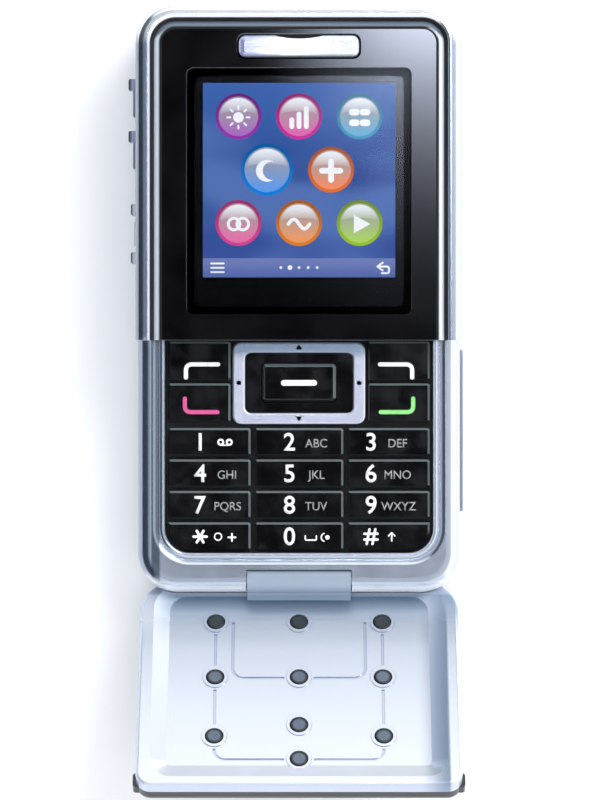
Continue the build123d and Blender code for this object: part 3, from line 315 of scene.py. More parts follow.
def clear(name, color):
    """Hard-coated window with faint smears in its gloss."""
    finish = Finish(name, color, 0.02, 0.0, Transmission_Weight=1.0, IOR=1.2)
    finish.color(finish.ramp(finish.noise(0.05, 3.0), (0.3, color), (0.8, shade(color, 1.04))))
    return finish.rough(finish.noise(0.2, 6.0), 0.0, 0.035)


def ink(name, color, roughness=0.45):
    """Screen-printed ink with a slightly uneven edge of tone."""
    finish = Finish(name, color, roughness)
    finish.color(finish.ramp(finish.noise(1.5, 4.0), (0.35, shade(color, 0.86)), (0.6, color)))
    return finish.bump(finish.noise(6.0, 2.0), 0.003, 0.4)


BLACK = (0.0, 0.0, 0.0)
WHITE = (1.0, 1.0, 1.0)

# directions that a surface may face
LEFT = (-1.0, 0.0, 0.0)
NEAR = (0.0, -1.0, 0.0)
FAR = (0.0, 1.0, 0.0)
FAR_RIGHT = (0.5, 0.86, 0.0)
UP = (0.0, 0.0, 1.0)
FLIP_NORMAL = (0.0, 0.633, 0.774)

# where tones start and end, along X or Y. Most place painted shade, painted reflections and painted
# highlights; FLIP_GLOSS_Y places a change of roughness, and the reaches and TIP_FADE the darker tips
FRAME_LEFT_X = (6.0, -6.0)
DISPLAY_SECTION_Y = (-5.9, -5.3)
DISPLAY_BAND_X = (-21.6, -21.95)
CREST_LEFT_X = (-21.5, -21.2)
CREST_RIGHT_X = (-19.95, -20.3)
FRAME_FAR_Y = (36.0, 39.0)
FLIP_LEFT_X = (-17.5, -21.5)
FLIP_RIGHT_X = (16.6, 21.3)
FLIP_RIM_X = (21.5, 21.1)
FLIP_SHADE_Y = (-51.0, -42.8)
FLIP_GLOSS_Y = (-50.0, -42.5)
KNUCKLE_Y = (-43.0, -42.6)
KNUCKLE_SHADE_Y = (-42.2, -39.6)
PLUNGER_SHADE_Y = (-52.5, -48.5)
RING_SHADE_Y = (-8.9, -7.2)
BAR_LEFT_X = (-1.5, -8.0)
BAR_NEAR_Y = (35.2, 34.5)
SIDE_KEY_REACH = 24.1
SIDE_COVER_REACH = 23.95
TIP_FADE = 0.2

# the plungers' ring of painted shade, and how far up the flip a plunger's axis lies from its box's
# middle
PLUNGER_RING = (0.75, 1.1)
PLUNGER_SHIFT = 0.075


def frame_paint():
    """Both frames: painted shade on left-facing sides, a left band and the left crest; painted
    highlights on near slopes and the far end.
    """
    finish = lacquer("silver_frame_paint", (0.64, 0.69, 0.79), (0.61, 0.67, 0.77), 0.2)
    # painted shade on the surfaces that face left, over the left half
    left_side_shade = finish.both(finish.toward(LEFT, 0.06, 0.5), finish.over("X", *FRAME_LEFT_X))
    finish.tint(left_side_shade, (0.33, 0.38, 0.47))
    display_section = finish.over("Y", *DISPLAY_SECTION_Y)
    # painted shade on the outer left band of the display section
    display_band_shade = finish.both(display_section, finish.over("X", *DISPLAY_BAND_X))
    finish.tint(display_band_shade, (0.30, 0.34, 0.41))
    # painted shade along the left crest of the keypad section
    crest_shade = finish.both(finish.over("X", *CREST_LEFT_X), finish.over("X", *CREST_RIGHT_X))
    keypad_section = finish.math("SUBTRACT", 1.0, display_section)
    finish.tint(finish.both(crest_shade, keypad_section), (0.20, 0.24, 0.29))
    # painted highlight on the slopes that face near, which are also made less metallic
    near_side_highlight = finish.toward(NEAR, 0.35, 0.75)
    finish.tint(near_side_highlight, (0.90, 0.92, 0.96))
    finish.feed("Metallic", finish.span(near_side_highlight, 0.0, 1.0, 0.95, 0.3))
    # painted highlight: the upward faces of the far end painted white
    far_end_highlight = finish.both(finish.toward(UP, 0.25, 0.6), finish.over("Y", *FRAME_FAR_Y))
    return finish.tint(far_end_highlight, WHITE)


def flip_lacquer():
    """The flip's inner side: glossy on its floor, with painted shade on slopes, in grooves, near the
    hinge, on the knuckle and to the right.
    """
    light, dark = (0.82, 0.86, 0.94), (0.80, 0.84, 0.93)
    finish = lacquer("flip_silver_lacquer", light, dark, 0.12, metallic=0.5, cloud=0.006)
    flatness = finish.facing(FLIP_NORMAL)
    finish.feed("Metallic", finish.span(flatness, 0.965, 0.99, 0.35, 0.88))
    # painted shade on slopes and walls, growing as they tilt from the floor's plane
    finish.tint(finish.span(flatness, 0.95, 0.6), (0.58, 0.63, 0.74))
    # painted shade in grooves and corners
    finish.tint(finish.shade_in_hollows(0.6), (0.50, 0.55, 0.69))
    # painted shade near the hinge, weaker towards the left rim
    hinge_shade_fading_left = finish.over("X", *FLIP_LEFT_X, 1.0, 0.35)
    hinge_shade = finish.both(finish.over("Y", *FLIP_SHADE_Y), hinge_shade_fading_left)
    finish.tint(hinge_shade, (0.24, 0.32, 0.42))
    # painted shade on surfaces that face left, such as the right wall
    finish.tint(finish.toward(LEFT, 0.1, 0.28), (0.62, 0.68, 0.80))
    # painted shade over the flip's right wall
    right_wall_shade = finish.both(finish.over("X", *FLIP_RIGHT_X), finish.over("X", *FLIP_RIM_X))
    finish.tint(right_wall_shade, (0.25, 0.31, 0.41))
    # painted shade on the knuckle, darker towards the body
    knuckle_shades = (0.40, 0.46, 0.57), (0.27, 0.32, 0.40)
    knuckle_shade = finish.blend(finish.over("Y", *KNUCKLE_SHADE_Y), *knuckle_shades)
    finish.tint(finish.over("Y", *KNUCKLE_Y), knuckle_shade)
    finish.feed("Roughness", finish.over("Y", *FLIP_GLOSS_Y, 0.12, 0.45))
    return finish


def ring_paint():
    """The navigation ring: silver, with painted shade on its far side."""
    light, dark = (0.80, 0.81, 0.93), (0.77, 0.78, 0.90)
    finish = lacquer("ring_silver_paint", light, dark, 0.24, metallic=0.8)
    # painted shade over the far side of the ring
    return finish.tint(finish.over("Y", *RING_SHADE_Y), (0.34, 0.42, 0.52))


def with_dark_tip(finish, reach, tone):
    """Darkens the tip of a piece on the left side, from reach outwards."""
    return finish.tint(finish.over("X", -reach, -(reach + TIP_FADE)), tone)


def bezel_gloss():
    """The display's bezel: black gloss with a painted highlight on its rim, dimmer where the rim faces
    far.
    """
    color, edge_wear_and_painted_light = (0.0015, 0.0015, 0.002), (0.004, 0.004, 0.005)
    finish = moulded("bezel_black_gloss", color, 0.05, grain=2.0, depth=0.0004, edge_wear_and_painted_light=edge_wear_and_painted_light)
    # the rim gets a painted highlight, and a dimmer painted reflection where it faces far
    rim = finish.toward(UP, 0.975, 0.88)
    far_rim = finish.toward(FAR, 0.12, 0.4)
    finish.tint(rim, finish.blend(far_rim, (0.74, 0.78, 0.84), (0.14, 0.18, 0.24)))
    finish.feed("Metallic", finish.span(rim, 0.0, 1.0, 0.0, 0.3))
    finish.feed("Roughness", finish.span(rim, 0.0, 1.0, 0.05, 0.3))
    return finish


def key_gloss():
    """The keys: black gloss, with a painted highlight round every edge and on the sides that face far
    and right.
    """
    # the lighter edge tone here is a painted highlight round every key
    color, edge_wear_and_painted_light = (0.002, 0.002, 0.0025), (0.03, 0.035, 0.04)
    finish = moulded("key_black_gloss", color, 0.1, grain=3.0, depth=0.001, edge_wear_and_painted_light=edge_wear_and_painted_light)
    # painted highlight on the sides that face far and right
    return finish.tint(finish.toward(FAR_RIGHT, 0.12, 0.45), (0.13, 0.16, 0.17))


def plunger_rubber():
    """The plungers: grey rubber with painted shade on their edges, in a ring round each tip, and near
    the hinge.
    """
    # the dark edge tone over a wide reach is painted shade on each plunger's edges
    color, edge_wear_and_painted_light = (0.08, 0.105, 0.14), (0.012, 0.018, 0.022)
    finish = moulded("plunger_rubber", color, 0.4, grain=7.0, depth=0.01, edge_wear_and_painted_light=edge_wear_and_painted_light, edge=0.8)
    # painted shade on the plungers nearest the hinge
    finish.tint(finish.over("Y", *PLUNGER_SHADE_Y), (0.012, 0.024, 0.03))
    up_the_flip = Vector((0.0, FLIP_NORMAL[2], -FLIP_NORMAL[1]))
    radius = finish.off_axis("plunger_ok", FLIP_NORMAL, PLUNGER_SHIFT * MM * up_the_flip)
    off_middle = finish.span(radius, *(limit * MM for limit in PLUNGER_RING))
    # painted shade in a ring round the middle of each plunger's tip
    ring_shade = finish.both(off_middle, finish.toward(FLIP_NORMAL, -0.2, 0.1))
    return finish.tint(ring_shade, (0.004, 0.010, 0.012))


def bar_chrome():
    """The earpiece bar: finely brushed, with a painted lilac reflection to the left and painted shade
    along its near edge.
    """
    brushing = {"stretch": (0.05, 1.5, 1.0), "depth": 0.0002, "marked": 0.94}
    finish = turned("chrome_bar", (0.95, 0.96, 1.0), 0.22, metallic=0.6, **brushing)
    # painted lilac reflection over the left of the bar
    finish.tint(finish.over("X", *BAR_LEFT_X), (0.50, 0.52, 0.76))
    # painted shade along the bar's near edge
    return finish.tint(finish.over("Y", *BAR_NEAR_Y), (0.12, 0.15, 0.18))


def side_key_paint():
    """The side keys: a darker silver."""
    finish = lacquer("side_silver_paint", (0.36, 0.38, 0.47), (0.32, 0.34, 0.43), 0.3)
    return with_dark_tip(finish, SIDE_KEY_REACH, (0.16, 0.17, 0.22))


def cover_rubber():
    """The socket's cover: pale grey rubber."""
    color, edge_wear_and_painted_light = (0.42, 0.46, 0.52), (0.5, 0.53, 0.58)
    finish = moulded("cover_rubber", color, 0.5, grain=7.0, depth=0.01, edge_wear_and_painted_light=edge_wear_and_painted_light)
    return with_dark_tip(finish, SIDE_COVER_REACH, (0.055, 0.06, 0.075))


finishes = {
    "silver_frame": frame_paint(),
    "rear_silver": lacquer("rear_silver_paint", (0.55, 0.59, 0.66), (0.50, 0.54, 0.61), 0.34, 0.85),
    "flip_silver": flip_lacquer(),
    "ring_silver": ring_paint(),
    "side_silver": side_key_paint(),
    "flip_black": moulded("flip_black_gloss", (0.010, 0.012, 0.015), 0.12, 3.0, 0.002, coat=0.35),
    "inner_black": moulded("inner_black_plastic", (0.01, 0.01, 0.011), 0.5, 8.0, 0.015),
    "bezel_black": bezel_gloss(),
    "key_black": key_gloss(),
    "plunger_grey": plunger_rubber(),
    "cover_grey": cover_rubber(),
    "battery_shell": moulded("battery_plastic", (0.05, 0.055, 0.065), 0.45, 6.0, 0.012),
    "board_green": moulded("board_mask", (0.015, 0.09, 0.035), 0.35, 5.0, 0.006),
    "picture": moulded("display_frame", (0.006, 0.006, 0.008), 0.3, 6.0, 0.005),
    "chrome_bar": bar_chrome(),
    "steel": turned("steel", (0.56, 0.57, 0.59), 0.3),
    "brass_gold": turned("gold_plate", (0.8, 0.58, 0.24), 0.25),
    "lens": clear("lens_glass", (0.93, 0.95, 0.97)),
    "camera_glass": clear("camera_glass", (0.30, 0.31, 0.36)),
}
for subpart in frame["record"]["subparts"]:
    surface = frame["nodes"][subpart["node"]]
    surface.data.materials.clear()
    surface.data.materials.append(finishes[subpart["material_slot"]].material)

white_ink = ink("white_ink", (0.9, 0.9, 0.9))
grey_ink = ink("grey_ink", (0.30, 0.31, 0.32))
pink_ink = ink("pink_ink", (0.62, 0.07, 0.25))
green_ink = ink("green_ink", (0.24, 0.68, 0.20))
black_ink = ink("black_ink", (0.002, 0.002, 0.003), 0.08)
black_ink.set("Specular IOR Level", 0.2)


# ---------------------------------------------------------------- flat marks
def arc(x, y, radius, start, end, count):
    """Points of an arc, in degrees."""
    turns = [math.radians(start + (end - start) * i / (count - 1)) for i in range(count)]
    return [(x + radius * math.cos(turn), y + radius * math.sin(turn)) for turn in turns]


def rectangle(left, low, right, high):
    """Corners of a rectangle, anticlockwise from the lower left one."""
    return [(left, low), (right, low), (right, high), (left, high)]


def rounded(points, bend, steps=6):
    """The points of a line with each corner turned into a short curve."""
    if not bend:
        return list(points)
    path = [points[0]]
    for before, corner, after in zip(points, points[1:], points[2:]):
        corner = Vector(corner)
        start = corner + (Vector(before) - corner).normalized() * bend
        end = corner + (Vector(after) - corner).normalized() * bend
        for i in range(steps + 1):
            part = i / steps
            point = start * (1 - part) ** 2 + corner * 2 * part * (1 - part) + end * part**2
            path.append((point.x, point.y))
    path.append(points[-1])
    return path


class Print:
    """Flat marks on one level surface, gathered into a thin piece. Points are in millimetres."""

    STEP = 0.0012  # from one patch of ink up to the next
    CAPITAL = 0.682  # height of a capital in Blender's own font at size 1

    def __init__(self):
        self.mesh = bmesh.new()
        self.level = 0.0

    def points(self, places):
        """New points of the mesh, at the present level."""
        return [self.mesh.verts.new((x, y, self.level)) for x, y in places]

    def face(self, places):
        """A patch of ink. Each lies a hair above the one before, so crossing strokes don't coincide."""
        self.mesh.faces.new(self.points(places))
        self.level += self.STEP

    def disc(self, x, y, radius, steps=40):
        self.face(arc(x, y, radius, 0, 360 - 360 / steps, steps))

    def band(self, outer, inner):
        """A strip between two lines with the same number of points."""
        outer, inner = self.points(outer), self.points(inner)
        for corners in zip(outer, outer[1:], inner[1:], inner):
            self.mesh.faces.new(corners)
        self.level += self.STEP

    def ring(self, x, y, inner, outer, start=0.0, sweep=360.0, steps=48):
        ends = (start, start + sweep, steps + 1)
        self.band(arc(x, y, outer, *ends), arc(x, y, inner, *ends))

    def line(self, points, width, bend=0.0):
        """A stroke with round ends, whose corners are rounded by bend."""
        path = [Vector(point) for point in rounded(points, bend)]
        left, right = [], []
        for i, point in enumerate(path):
            along = (path[min(i + 1, len(path) - 1)] - path[max(i - 1, 0)]).normalized()
            sideways = Vector((-along.y, along.x)) * width / 2
            left.append(point + sideways)
            right.append(point - sideways)
        start = math.degrees(math.atan2(left[0].y - path[0].y, left[0].x - path[0].x))
        end = math.degrees(math.atan2(right[-1].y - path[-1].y, right[-1].x - path[-1].x))
        first_cap = arc(*path[0], width / 2, start, start + 180, 9)[1:-1]
        last_cap = arc(*path[-1], width / 2, end, end + 180, 9)[1:-1]
        self.face([*first_cap, *right, *last_cap, *reversed(left)])

    def dash(self, x, y, reach_x, reach_y, width):
        """A straight stroke centred on x, y."""
        self.line([(x - reach_x, y - reach_y), (x + reach_x, y + reach_y)], width)

    def text(self, words, x, y, height, weight, narrow):
        """Letters centred on x, y, whose capitals are height tall."""
        curve = bpy.data.curves.new("letters", "FONT")
        curve.body = words
        curve.offset = weight
        letters = bpy.data.objects.new("letters", curve)
        scene.collection.objects.link(letters)
        evaluated = letters.evaluated_get(bpy.context.evaluated_depsgraph_get())
        shape = bpy.data.meshes.new_from_object(evaluated)
        bpy.data.objects.remove(letters)
        places = [vertex.co.x for vertex in shape.vertices]
        middle = (min(places) + max(places)) / 2
        scale = height / self.CAPITAL
        for vertex in shape.vertices:
            across = (vertex.co.x - middle) * scale * narrow
            up = (vertex.co.y - self.CAPITAL / 2) * scale
            vertex.co = (x + across, y + up, self.level)
        self.mesh.from_mesh(shape)
        self.level += self.STEP

    def piece(self, name, body, finish, level, thickness=0.012):
        """Makes the marks a piece on that body, their undersides at level."""
        mesh = bpy.data.meshes.new(name)
        bmesh.ops.recalc_face_normals(self.mesh, faces=self.mesh.faces)
        for face in self.mesh.faces:
            if face.normal.z < 0:
                face.normal_flip()
        self.mesh.to_mesh(mesh)
        self.mesh.free()
        mesh.transform(Matrix.Translation((0, 0, (level + thickness) * MM)) @ Matrix.Scale(MM, 4))
        mesh.materials.append(finish.material)
        made = bpy.data.objects.new(name, mesh)
        scene.collection.objects.link(made)
        solid = made.modifiers.new("thickness", "SOLIDIFY")
        solid.thickness = thickness * MM
        solid.offset = -1.0
        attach(made, body)


# ---------------------------------------------------------------- lettering on the keys
def star(marks, x, y):
    """The star key's six-pointed sign."""
    reach = 0.95
    for turn in (0, 60, 120):
        angle = math.radians(turn)
        marks.dash(x, y, reach * math.cos(angle), reach * math.sin(angle), 0.36)


def hash_sign(marks, x, y):
    """Two slanted strokes crossed by two level ones."""
    for shift in (-0.42, 0.42):
        marks.dash(x + shift, y, 0.2, 1.05, 0.36)
        marks.dash(x, y + shift, 0.95, 0.0, 0.34)


def tape(marks, x, y):
    """Two small rings joined by a line under them."""
    middle, apart = x + 3.6, 0.62
    for side in (-1, 1):
        marks.ring(middle + side * apart, y, 0.22, 0.5)
    marks.dash(middle, y - 0.43, apart, 0.0, 0.17)


def plus_and_ring(marks, x, y):
    """A plus sign with a plain ring to its left."""
    plus_x, plus_y = x + 4.6, y - 0.1
    marks.dash(plus_x, plus_y, 0.5, 0.0, 0.26)
    marks.dash(plus_x, plus_y, 0.0, 0.5, 0.26)
    marks.ring(x + 2.6, y, 0.42, 0.6)


def space_and_moon(marks, x, y):
    """A space bar's sign, and a half ring round a dot."""
    left, right, low, high = x + 2.3, x + 3.9, y - 0.5, y + 0.1
    marks.line([(left, high), (left, low), (right, low), (right, high)], 0.2, 0.2)
    marks.ring(x + 5.2, y - 0.1, 0.5, 0.68, 100, 160)
    marks.disc(x + 5.5, y - 0.1, 0.32)


def up_arrow(marks, x, y):
    """A thin arrow that points up."""
    middle, wing = x + 3.0, 0.45
    marks.dash(middle, y - 0.05, 0.0, 0.55, 0.22)
    marks.line([(middle - wing, y + 0.1), (middle, y + 0.6), (middle + wing, y + 0.1)], 0.2)


PRINT_GAP = 0.003
COLUMN_PITCH = 12.0
DIGIT_X = (-14.3, -1.4, 10.4)
DIGIT_TEXT = {"height": 2.45, "weight": 0.014, "narrow": 0.98}
DIGIT_RAISE = 0.05
LETTER_TEXT = {"height": 1.2, "weight": 0.006, "narrow": 0.95}
LETTER_X = 3.5
LETTER_STRETCH = 0.12
LETTER_DROP = 0.15

# each key's large label and small label: words, or what draws them
labels = {
    "key_1": ("1", tape),
    "key_2": ("2", "ABC"),
    "key_3": ("3", "DEF"),
    "key_4": ("4", "GHI"),
    "key_5": ("5", "JKL"),
    "key_6": ("6", "MNO"),
    "key_7": ("7", "PQRS"),
    "key_8": ("8", "TUV"),
    "key_9": ("9", "WXYZ"),
    "key_star": (star, plus_and_ring),
    "key_0": ("0", space_and_moon),
    "key_hash": (hash_sign, up_arrow),
}
key_level = top_of("key_5") + PRINT_GAP
for key, (large, small) in labels.items():
    key_x, key_y = middle_of(key)
    digit_x = DIGIT_X[round(key_x / COLUMN_PITCH) + 1]
    large_marks = Print()
    if callable(large):
        large(large_marks, digit_x, key_y)
    else:
        large_marks.text(large, digit_x, key_y + DIGIT_RAISE, **DIGIT_TEXT)
    large_marks.piece(f"print_{key}", key, white_ink, key_level)
    small_marks = Print()
    if callable(small):
        small(small_marks, digit_x, key_y)
        small_ink = white_ink
    else:
        letters_x = digit_x + LETTER_X + LETTER_STRETCH * len(small)
        small_marks.text(small, letters_x, key_y - LETTER_DROP, **LETTER_TEXT)
        small_ink = grey_ink
    small_marks.piece(f"small_print_{key}", key, small_ink, key_level)


CORNER_STROKE = 0.6
CORNER_BEND = 0.9
SOFT_CORNER = {"outer": 16.35, "inner": 11.7, "start": -11.35, "turn": -9.45}
CALL_CORNER = {"outer": 16.5, "inner": 11.8, "start": -14.4, "turn": -16.35}


def corner_mark(key, side, finish, outer, inner, start, turn):
    """A bent stroke along a function key's outer side and on towards the middle."""
    marks = Print()
    path = [(side * outer, start), (side * outer, turn), (side * inner, turn)]
    marks.line(path, CORNER_STROKE, CORNER_BEND)
    marks.piece(f"print_{key}", key, finish, key_level)


corner_mark("soft_key_left", -1, white_ink, **SOFT_CORNER)
corner_mark("soft_key_right", 1, white_ink, **SOFT_CORNER)
corner_mark("end_key", -1, pink_ink, **CALL_CORNER)
corner_mark("call_key", 1, green_ink, **CALL_CORNER)

# ---------------------------------------------------------------- marks on the navigation ring
CENTRE_REACH = 2.2
CENTRE_STROKE = 0.82
ARROW_INSET = 0.83
ARROW_HALF_WIDTH = 0.55
ARROW_BASE = 0.3
ARROW_POINT = 0.4
DOT_INSET = 0.9
DOT_RADIUS = 0.36

nav_y = middle_of("nav_ring")[1]
centre_marks = Print()
centre_marks.dash(0, nav_y, CENTRE_REACH, 0.0, CENTRE_STROKE)
centre_marks.piece("print_nav_centre", "nav_centre", white_ink, top_of("nav_centre") + PRINT_GAP)

ring_left, ring_right, ring_near, ring_far = sides_of("nav_ring")
ring_marks = Print()
for way, arrow_y in ((1, ring_far - ARROW_INSET), (-1, ring_near + ARROW_INSET)):
    base_y, half_width = arrow_y - way * ARROW_BASE, way * ARROW_HALF_WIDTH
    ring_marks.face([(-half_width, base_y), (half_width, base_y), (0, arrow_y + way * ARROW_POINT)])
for dot_x in (ring_left + DOT_INSET, ring_right - DOT_INSET):
    ring_marks.disc(dot_x, nav_y, DOT_RADIUS)
ring_marks.piece("print_nav_ring", "nav_ring", black_ink, top_of("nav_ring") + PRINT_GAP)

# ---------------------------------------------------------------- picture on the display
SCREEN_LEFT = -13.8
SCREEN_RIGHT = 13.8
SCREEN_LOW = 3.0
SCREEN_HIGH = 30.9
BAR_HIGH = 5.75
SCREEN_GAP = 0.002
BACKDROP_THICKNESS = 0.004
PICTURE_THICKNESS = 0.003
FIRST_LAYER = 0.007
NEXT_LAYER = 0.004
screen_level = top_of("lcd_module")


def glowing(name, roughness=0.3, color=WHITE):
    """A finish that only shines by itself."""
    glow = {"Emission_Strength": 1.0, "Specular_IOR_Level": 0.0, "Emission_Color": (*color, 1.0)}
    return Finish(name, BLACK, roughness, 0.0, **glow)


def picture_blue():
    """The backdrop: deep blue, paler to both ends, with wide swirls."""
    finish = glowing("picture_blue")
    height = finish.over("Y", 3.0, 31.0)
    sweep = finish.ramp(
        height, (0.0, (0.045, 0.09, 0.34)), (0.5, (0.02, 0.06, 0.27)), (1.0, (0.05, 0.13, 0.42))
    )
    swirl = finish.span(finish.noise(0.05, 1.0, (1.0, 2.2, 1.0)), 0.42, 0.7)
    finish.feed("Emission Color", finish.blend(swirl, sweep, (0.09, 0.17, 0.46)))
    return finish


def show(marks, name, layer, low_color, high_color, low_y, high_y):
    """Makes marks a glowing piece of the picture, its colour running from low_y to high_y."""
    finish = glowing(name)
    fade = finish.ramp(finish.over("Y", low_y, high_y), (0.0, low_color), (1.0, high_color))
    dots = finish.ramp(finish.noise(3.5, 1.0), (0.3, (0.9, 0.9, 0.9)), (0.6, WHITE))
    finish.feed("Emission Color", finish.blend(0.5, fade, dots, "MULTIPLY"))
    level = screen_level + FIRST_LAYER + layer * NEXT_LAYER
    marks.piece(name, "phone_body", finish, level, PICTURE_THICKNESS)


backdrop = Print()
backdrop.face(rectangle(SCREEN_LEFT, SCREEN_LOW, SCREEN_RIGHT, SCREEN_HIGH))
backdrop_level = screen_level + SCREEN_GAP
backdrop.piece("picture_backdrop", "phone_body", picture_blue(), backdrop_level, BACKDROP_THICKNESS)

bar = Print()
bar.face(rectangle(SCREEN_LEFT, SCREEN_LOW, SCREEN_RIGHT, BAR_HIGH))
show(bar, "picture_bar", 0, (0.10, 0.15, 0.42), (0.17, 0.22, 0.50), 3.0, 5.7)


def menu_lines(marks, x, y):
    """Three short lines, the lowest one centred on x, y."""
    for row in range(3):
        marks.dash(x, y + 0.62 * row, 0.9, 0.0, 0.26)


def page_dots(marks, x, y):
    """Five dots centred on x, y, the second one larger."""
    for page in range(5):
        marks.disc(x + (page - 2) * 1.3, y, 0.34 if page == 1 else 0.2)


def return_arrow(marks, x, y):
    """An arrow that comes back to the left, with its point at x, y."""
    wing_x, end_x, end_y = x + 0.8, x + 1.7, y - 0.95
    marks.line([(wing_x, y + 0.55), (x, y), (wing_x, y - 0.55)], 0.3)
    marks.line([(x + 0.1, y), (end_x, y), (end_x, end_y), (end_x - 1.0, end_y)], 0.3, 0.3)


signs = Print()
menu_lines(signs, -11.7, 3.75)
return_arrow(signs, 11.2, 4.55)
page_dots(signs, 0.0, 4.4)
show(signs, "picture_signs", 1, (0.8, 0.85, 0.95), WHITE, 3.5, 5.2)


def sun(marks, x, y, size):
    """A disc with eight rays."""
    marks.disc(x, y, 0.55 * size)
    for ray in range(8):
        angle = math.radians(45 * ray)
        across, up = size * math.cos(angle), size * math.sin(angle)
        ends = [(x + reach * across, y + reach * up) for reach in (0.85, 1.15)]
        marks.line(ends, 0.2 * size)


def bars(marks, x, y, size):
    """Three bars that grow to the right."""
    foot = y - 0.95 * size
    for place, tall in ((-1, 0.7), (0, 1.3), (1, 1.9)):
        bar_x = x + place * 0.75 * size
        marks.line([(bar_x, foot), (bar_x, y + (tall - 0.95) * size)], 0.5 * size)


def grid(marks, x, y, size):
    """Four rounded blocks."""
    for column in (-0.55, 0.55):
        for row in (-0.55, 0.55):
            marks.dash(x + column * size, y + row * size, 0.2 * size, 0.0, 0.7 * size)


def moon(marks, x, y, size):
    """A crescent."""
    marks.band(arc(x, y, size, 55, 305, 40), arc(x + 0.45 * size, y, 0.83 * size, 80, 280, 40))


def cross(marks, x, y, size):
    """A thick plus sign."""
    marks.dash(x, y, 0.95 * size, 0.0, 0.6 * size)
    marks.dash(x, y, 0.0, 0.95 * size, 0.6 * size)


def rings(marks, x, y, size):
    """Two rings that overlap."""
    for side in (-1, 1):
        marks.ring(x + side * 0.45 * size, y, 0.45 * size, 0.75 * size)


def wave(marks, x, y, size):
    """One full wave."""
    turns = [math.radians(30 * i) for i in range(13)]
    crests = [(x + size * (0.35 * turn - 1.1), y + 0.5 * size * math.sin(turn)) for turn in turns]
    marks.line(crests, 0.36 * size)


def play(marks, x, y, size):
    """A triangle that points right."""
    back, half_height = x - 0.6 * size, 0.95 * size
    marks.face([(back, y - half_height), (x + 1.1 * size, y), (back, y + half_height)])


SIGN_DROP = 0.15
SIGN_SIZE = 0.42


def badge(name, x, y, radius, color, draw_sign):
    """A round button of the picture: rim, face, gloss over its upper half, and a sign."""
    low, high = y - radius, y + radius
    rim = Print()
    rim.disc(x, y, radius, 56)
    show(rim, f"{name}_rim", 0, color, shade(color, 0.5), low, high)
    face = Print()
    face.disc(x, y, 0.86 * radius, 56)
    rich, pale = shade(color, 1.1, 0.1), shade(color, 0.25, 0.3)
    show(face, f"{name}_face", 1, rich, pale, low, y + 0.4 * radius)
    gloss = Print()
    upper = arc(x, y, 0.8 * radius, 14, 166, 28)
    lower = [(point_x, y + 0.07 * radius + 0.2 * (point_y - y)) for point_x, point_y in upper]
    gloss.band(upper, lower)
    show(gloss, f"{name}_shine", 2, shade(color, 0.3, 0.32), (0.88, 0.9, 0.96), y, y + 0.8 * radius)
    sign = Print()
    draw_sign(sign, x, y - SIGN_DROP, SIGN_SIZE * radius)
    show(sign, f"{name}_sign", 3, WHITE, (0.9, 0.92, 1.0), low, high)


BADGE_RADIUS = 3.3
CHOSEN_RADIUS = 3.75
HIGH_ROW, MIDDLE_ROW, LOW_ROW = 26.1, 18.45, 10.8
COLUMN_X = 8.7
MIDDLE_COLUMN_X = 4.6

badges = [
    (-COLUMN_X, HIGH_ROW, BADGE_RADIUS, (0.30, 0.04, 0.42), sun),
    (0.0, HIGH_ROW, BADGE_RADIUS, (0.62, 0.03, 0.34), bars),
    (COLUMN_X, HIGH_ROW, BADGE_RADIUS, (0.05, 0.32, 0.55), grid),
    (-MIDDLE_COLUMN_X, MIDDLE_ROW, CHOSEN_RADIUS, (0.01, 0.22, 0.72), moon),
    (MIDDLE_COLUMN_X, MIDDLE_ROW, BADGE_RADIUS, (0.80, 0.16, 0.02), cross),
    (-COLUMN_X, LOW_ROW, BADGE_RADIUS, (0.70, 0.06, 0.30), rings),
    (0.0, LOW_ROW, BADGE_RADIUS, (0.78, 0.22, 0.02), wave),
    (COLUMN_X, LOW_ROW, BADGE_RADIUS, (0.32, 0.55, 0.02), play),
]
for number, values in enumerate(badges, 1):
    badge(f"badge_{number}", *values)

# ---------------------------------------------------------------- border of the lens
BORDER_INSET = 0.1
BORDER_DEPTH = 0.012
BORDER_THICKNESS = 0.008

# black, printed under the lens, with a clear window over the picture
_, lens_right, lens_near, lens_far = sides_of("display_lens")
border_right = lens_right - BORDER_INSET
outline = rectangle(-border_right, lens_near + BORDER_INSET, border_right, lens_far - BORDER_INSET)
window = rectangle(SCREEN_LEFT, SCREEN_LOW, SCREEN_RIGHT, SCREEN_HIGH)
border = Print()
for first, second in ((0, 1), (1, 2), (2, 3), (3, 0)):
    border.face([outline[first], outline[second], window[second], window[first]])
border_level = bottom_of("display_lens") - BORDER_DEPTH
border.piece("lens_border", "phone_body", black_ink, border_level, BORDER_THICKNESS)

# ---------------------------------------------------------------- stage and light, in metres
FLOOR_SIZE = 8.0
FLOOR_DROP = 0.05 * MM
LAMP_AIM = Vector((0, -0.01, 0.01))
CARD_HEIGHT = 1.86
CARD_MIDDLE = 0.95
WALL_HEIGHT = 1.6


def panel(name, width, height, finish):
    """A flat rectangle round the origin, as part of the stage."""
    mesh = bpy.data.meshes.new(name)
    corners = rectangle(-width / 2, -height / 2, width / 2, height / 2)
    mesh.from_pydata([(x, y, 0) for x, y in corners], [], [(0, 1, 2, 3)])
    mesh.materials.append(finish.material)
    made = bpy.data.objects.new(name, mesh)
    scene.collection.objects.link(made)
    return made


def card(name, finish, centre, normal, up, width, height):
    """A studio card that only shows in what it lights and in reflections."""
    made = panel(name, width, height, finish)
    z_axis = Vector(normal).normalized()
    x_axis = Vector(up).cross(z_axis).normalized()
    turn = Matrix((x_axis, z_axis.cross(x_axis), z_axis)).transposed().to_4x4()
    made.matrix_world = Matrix.Translation(centre) @ turn
    made.visible_camera = False


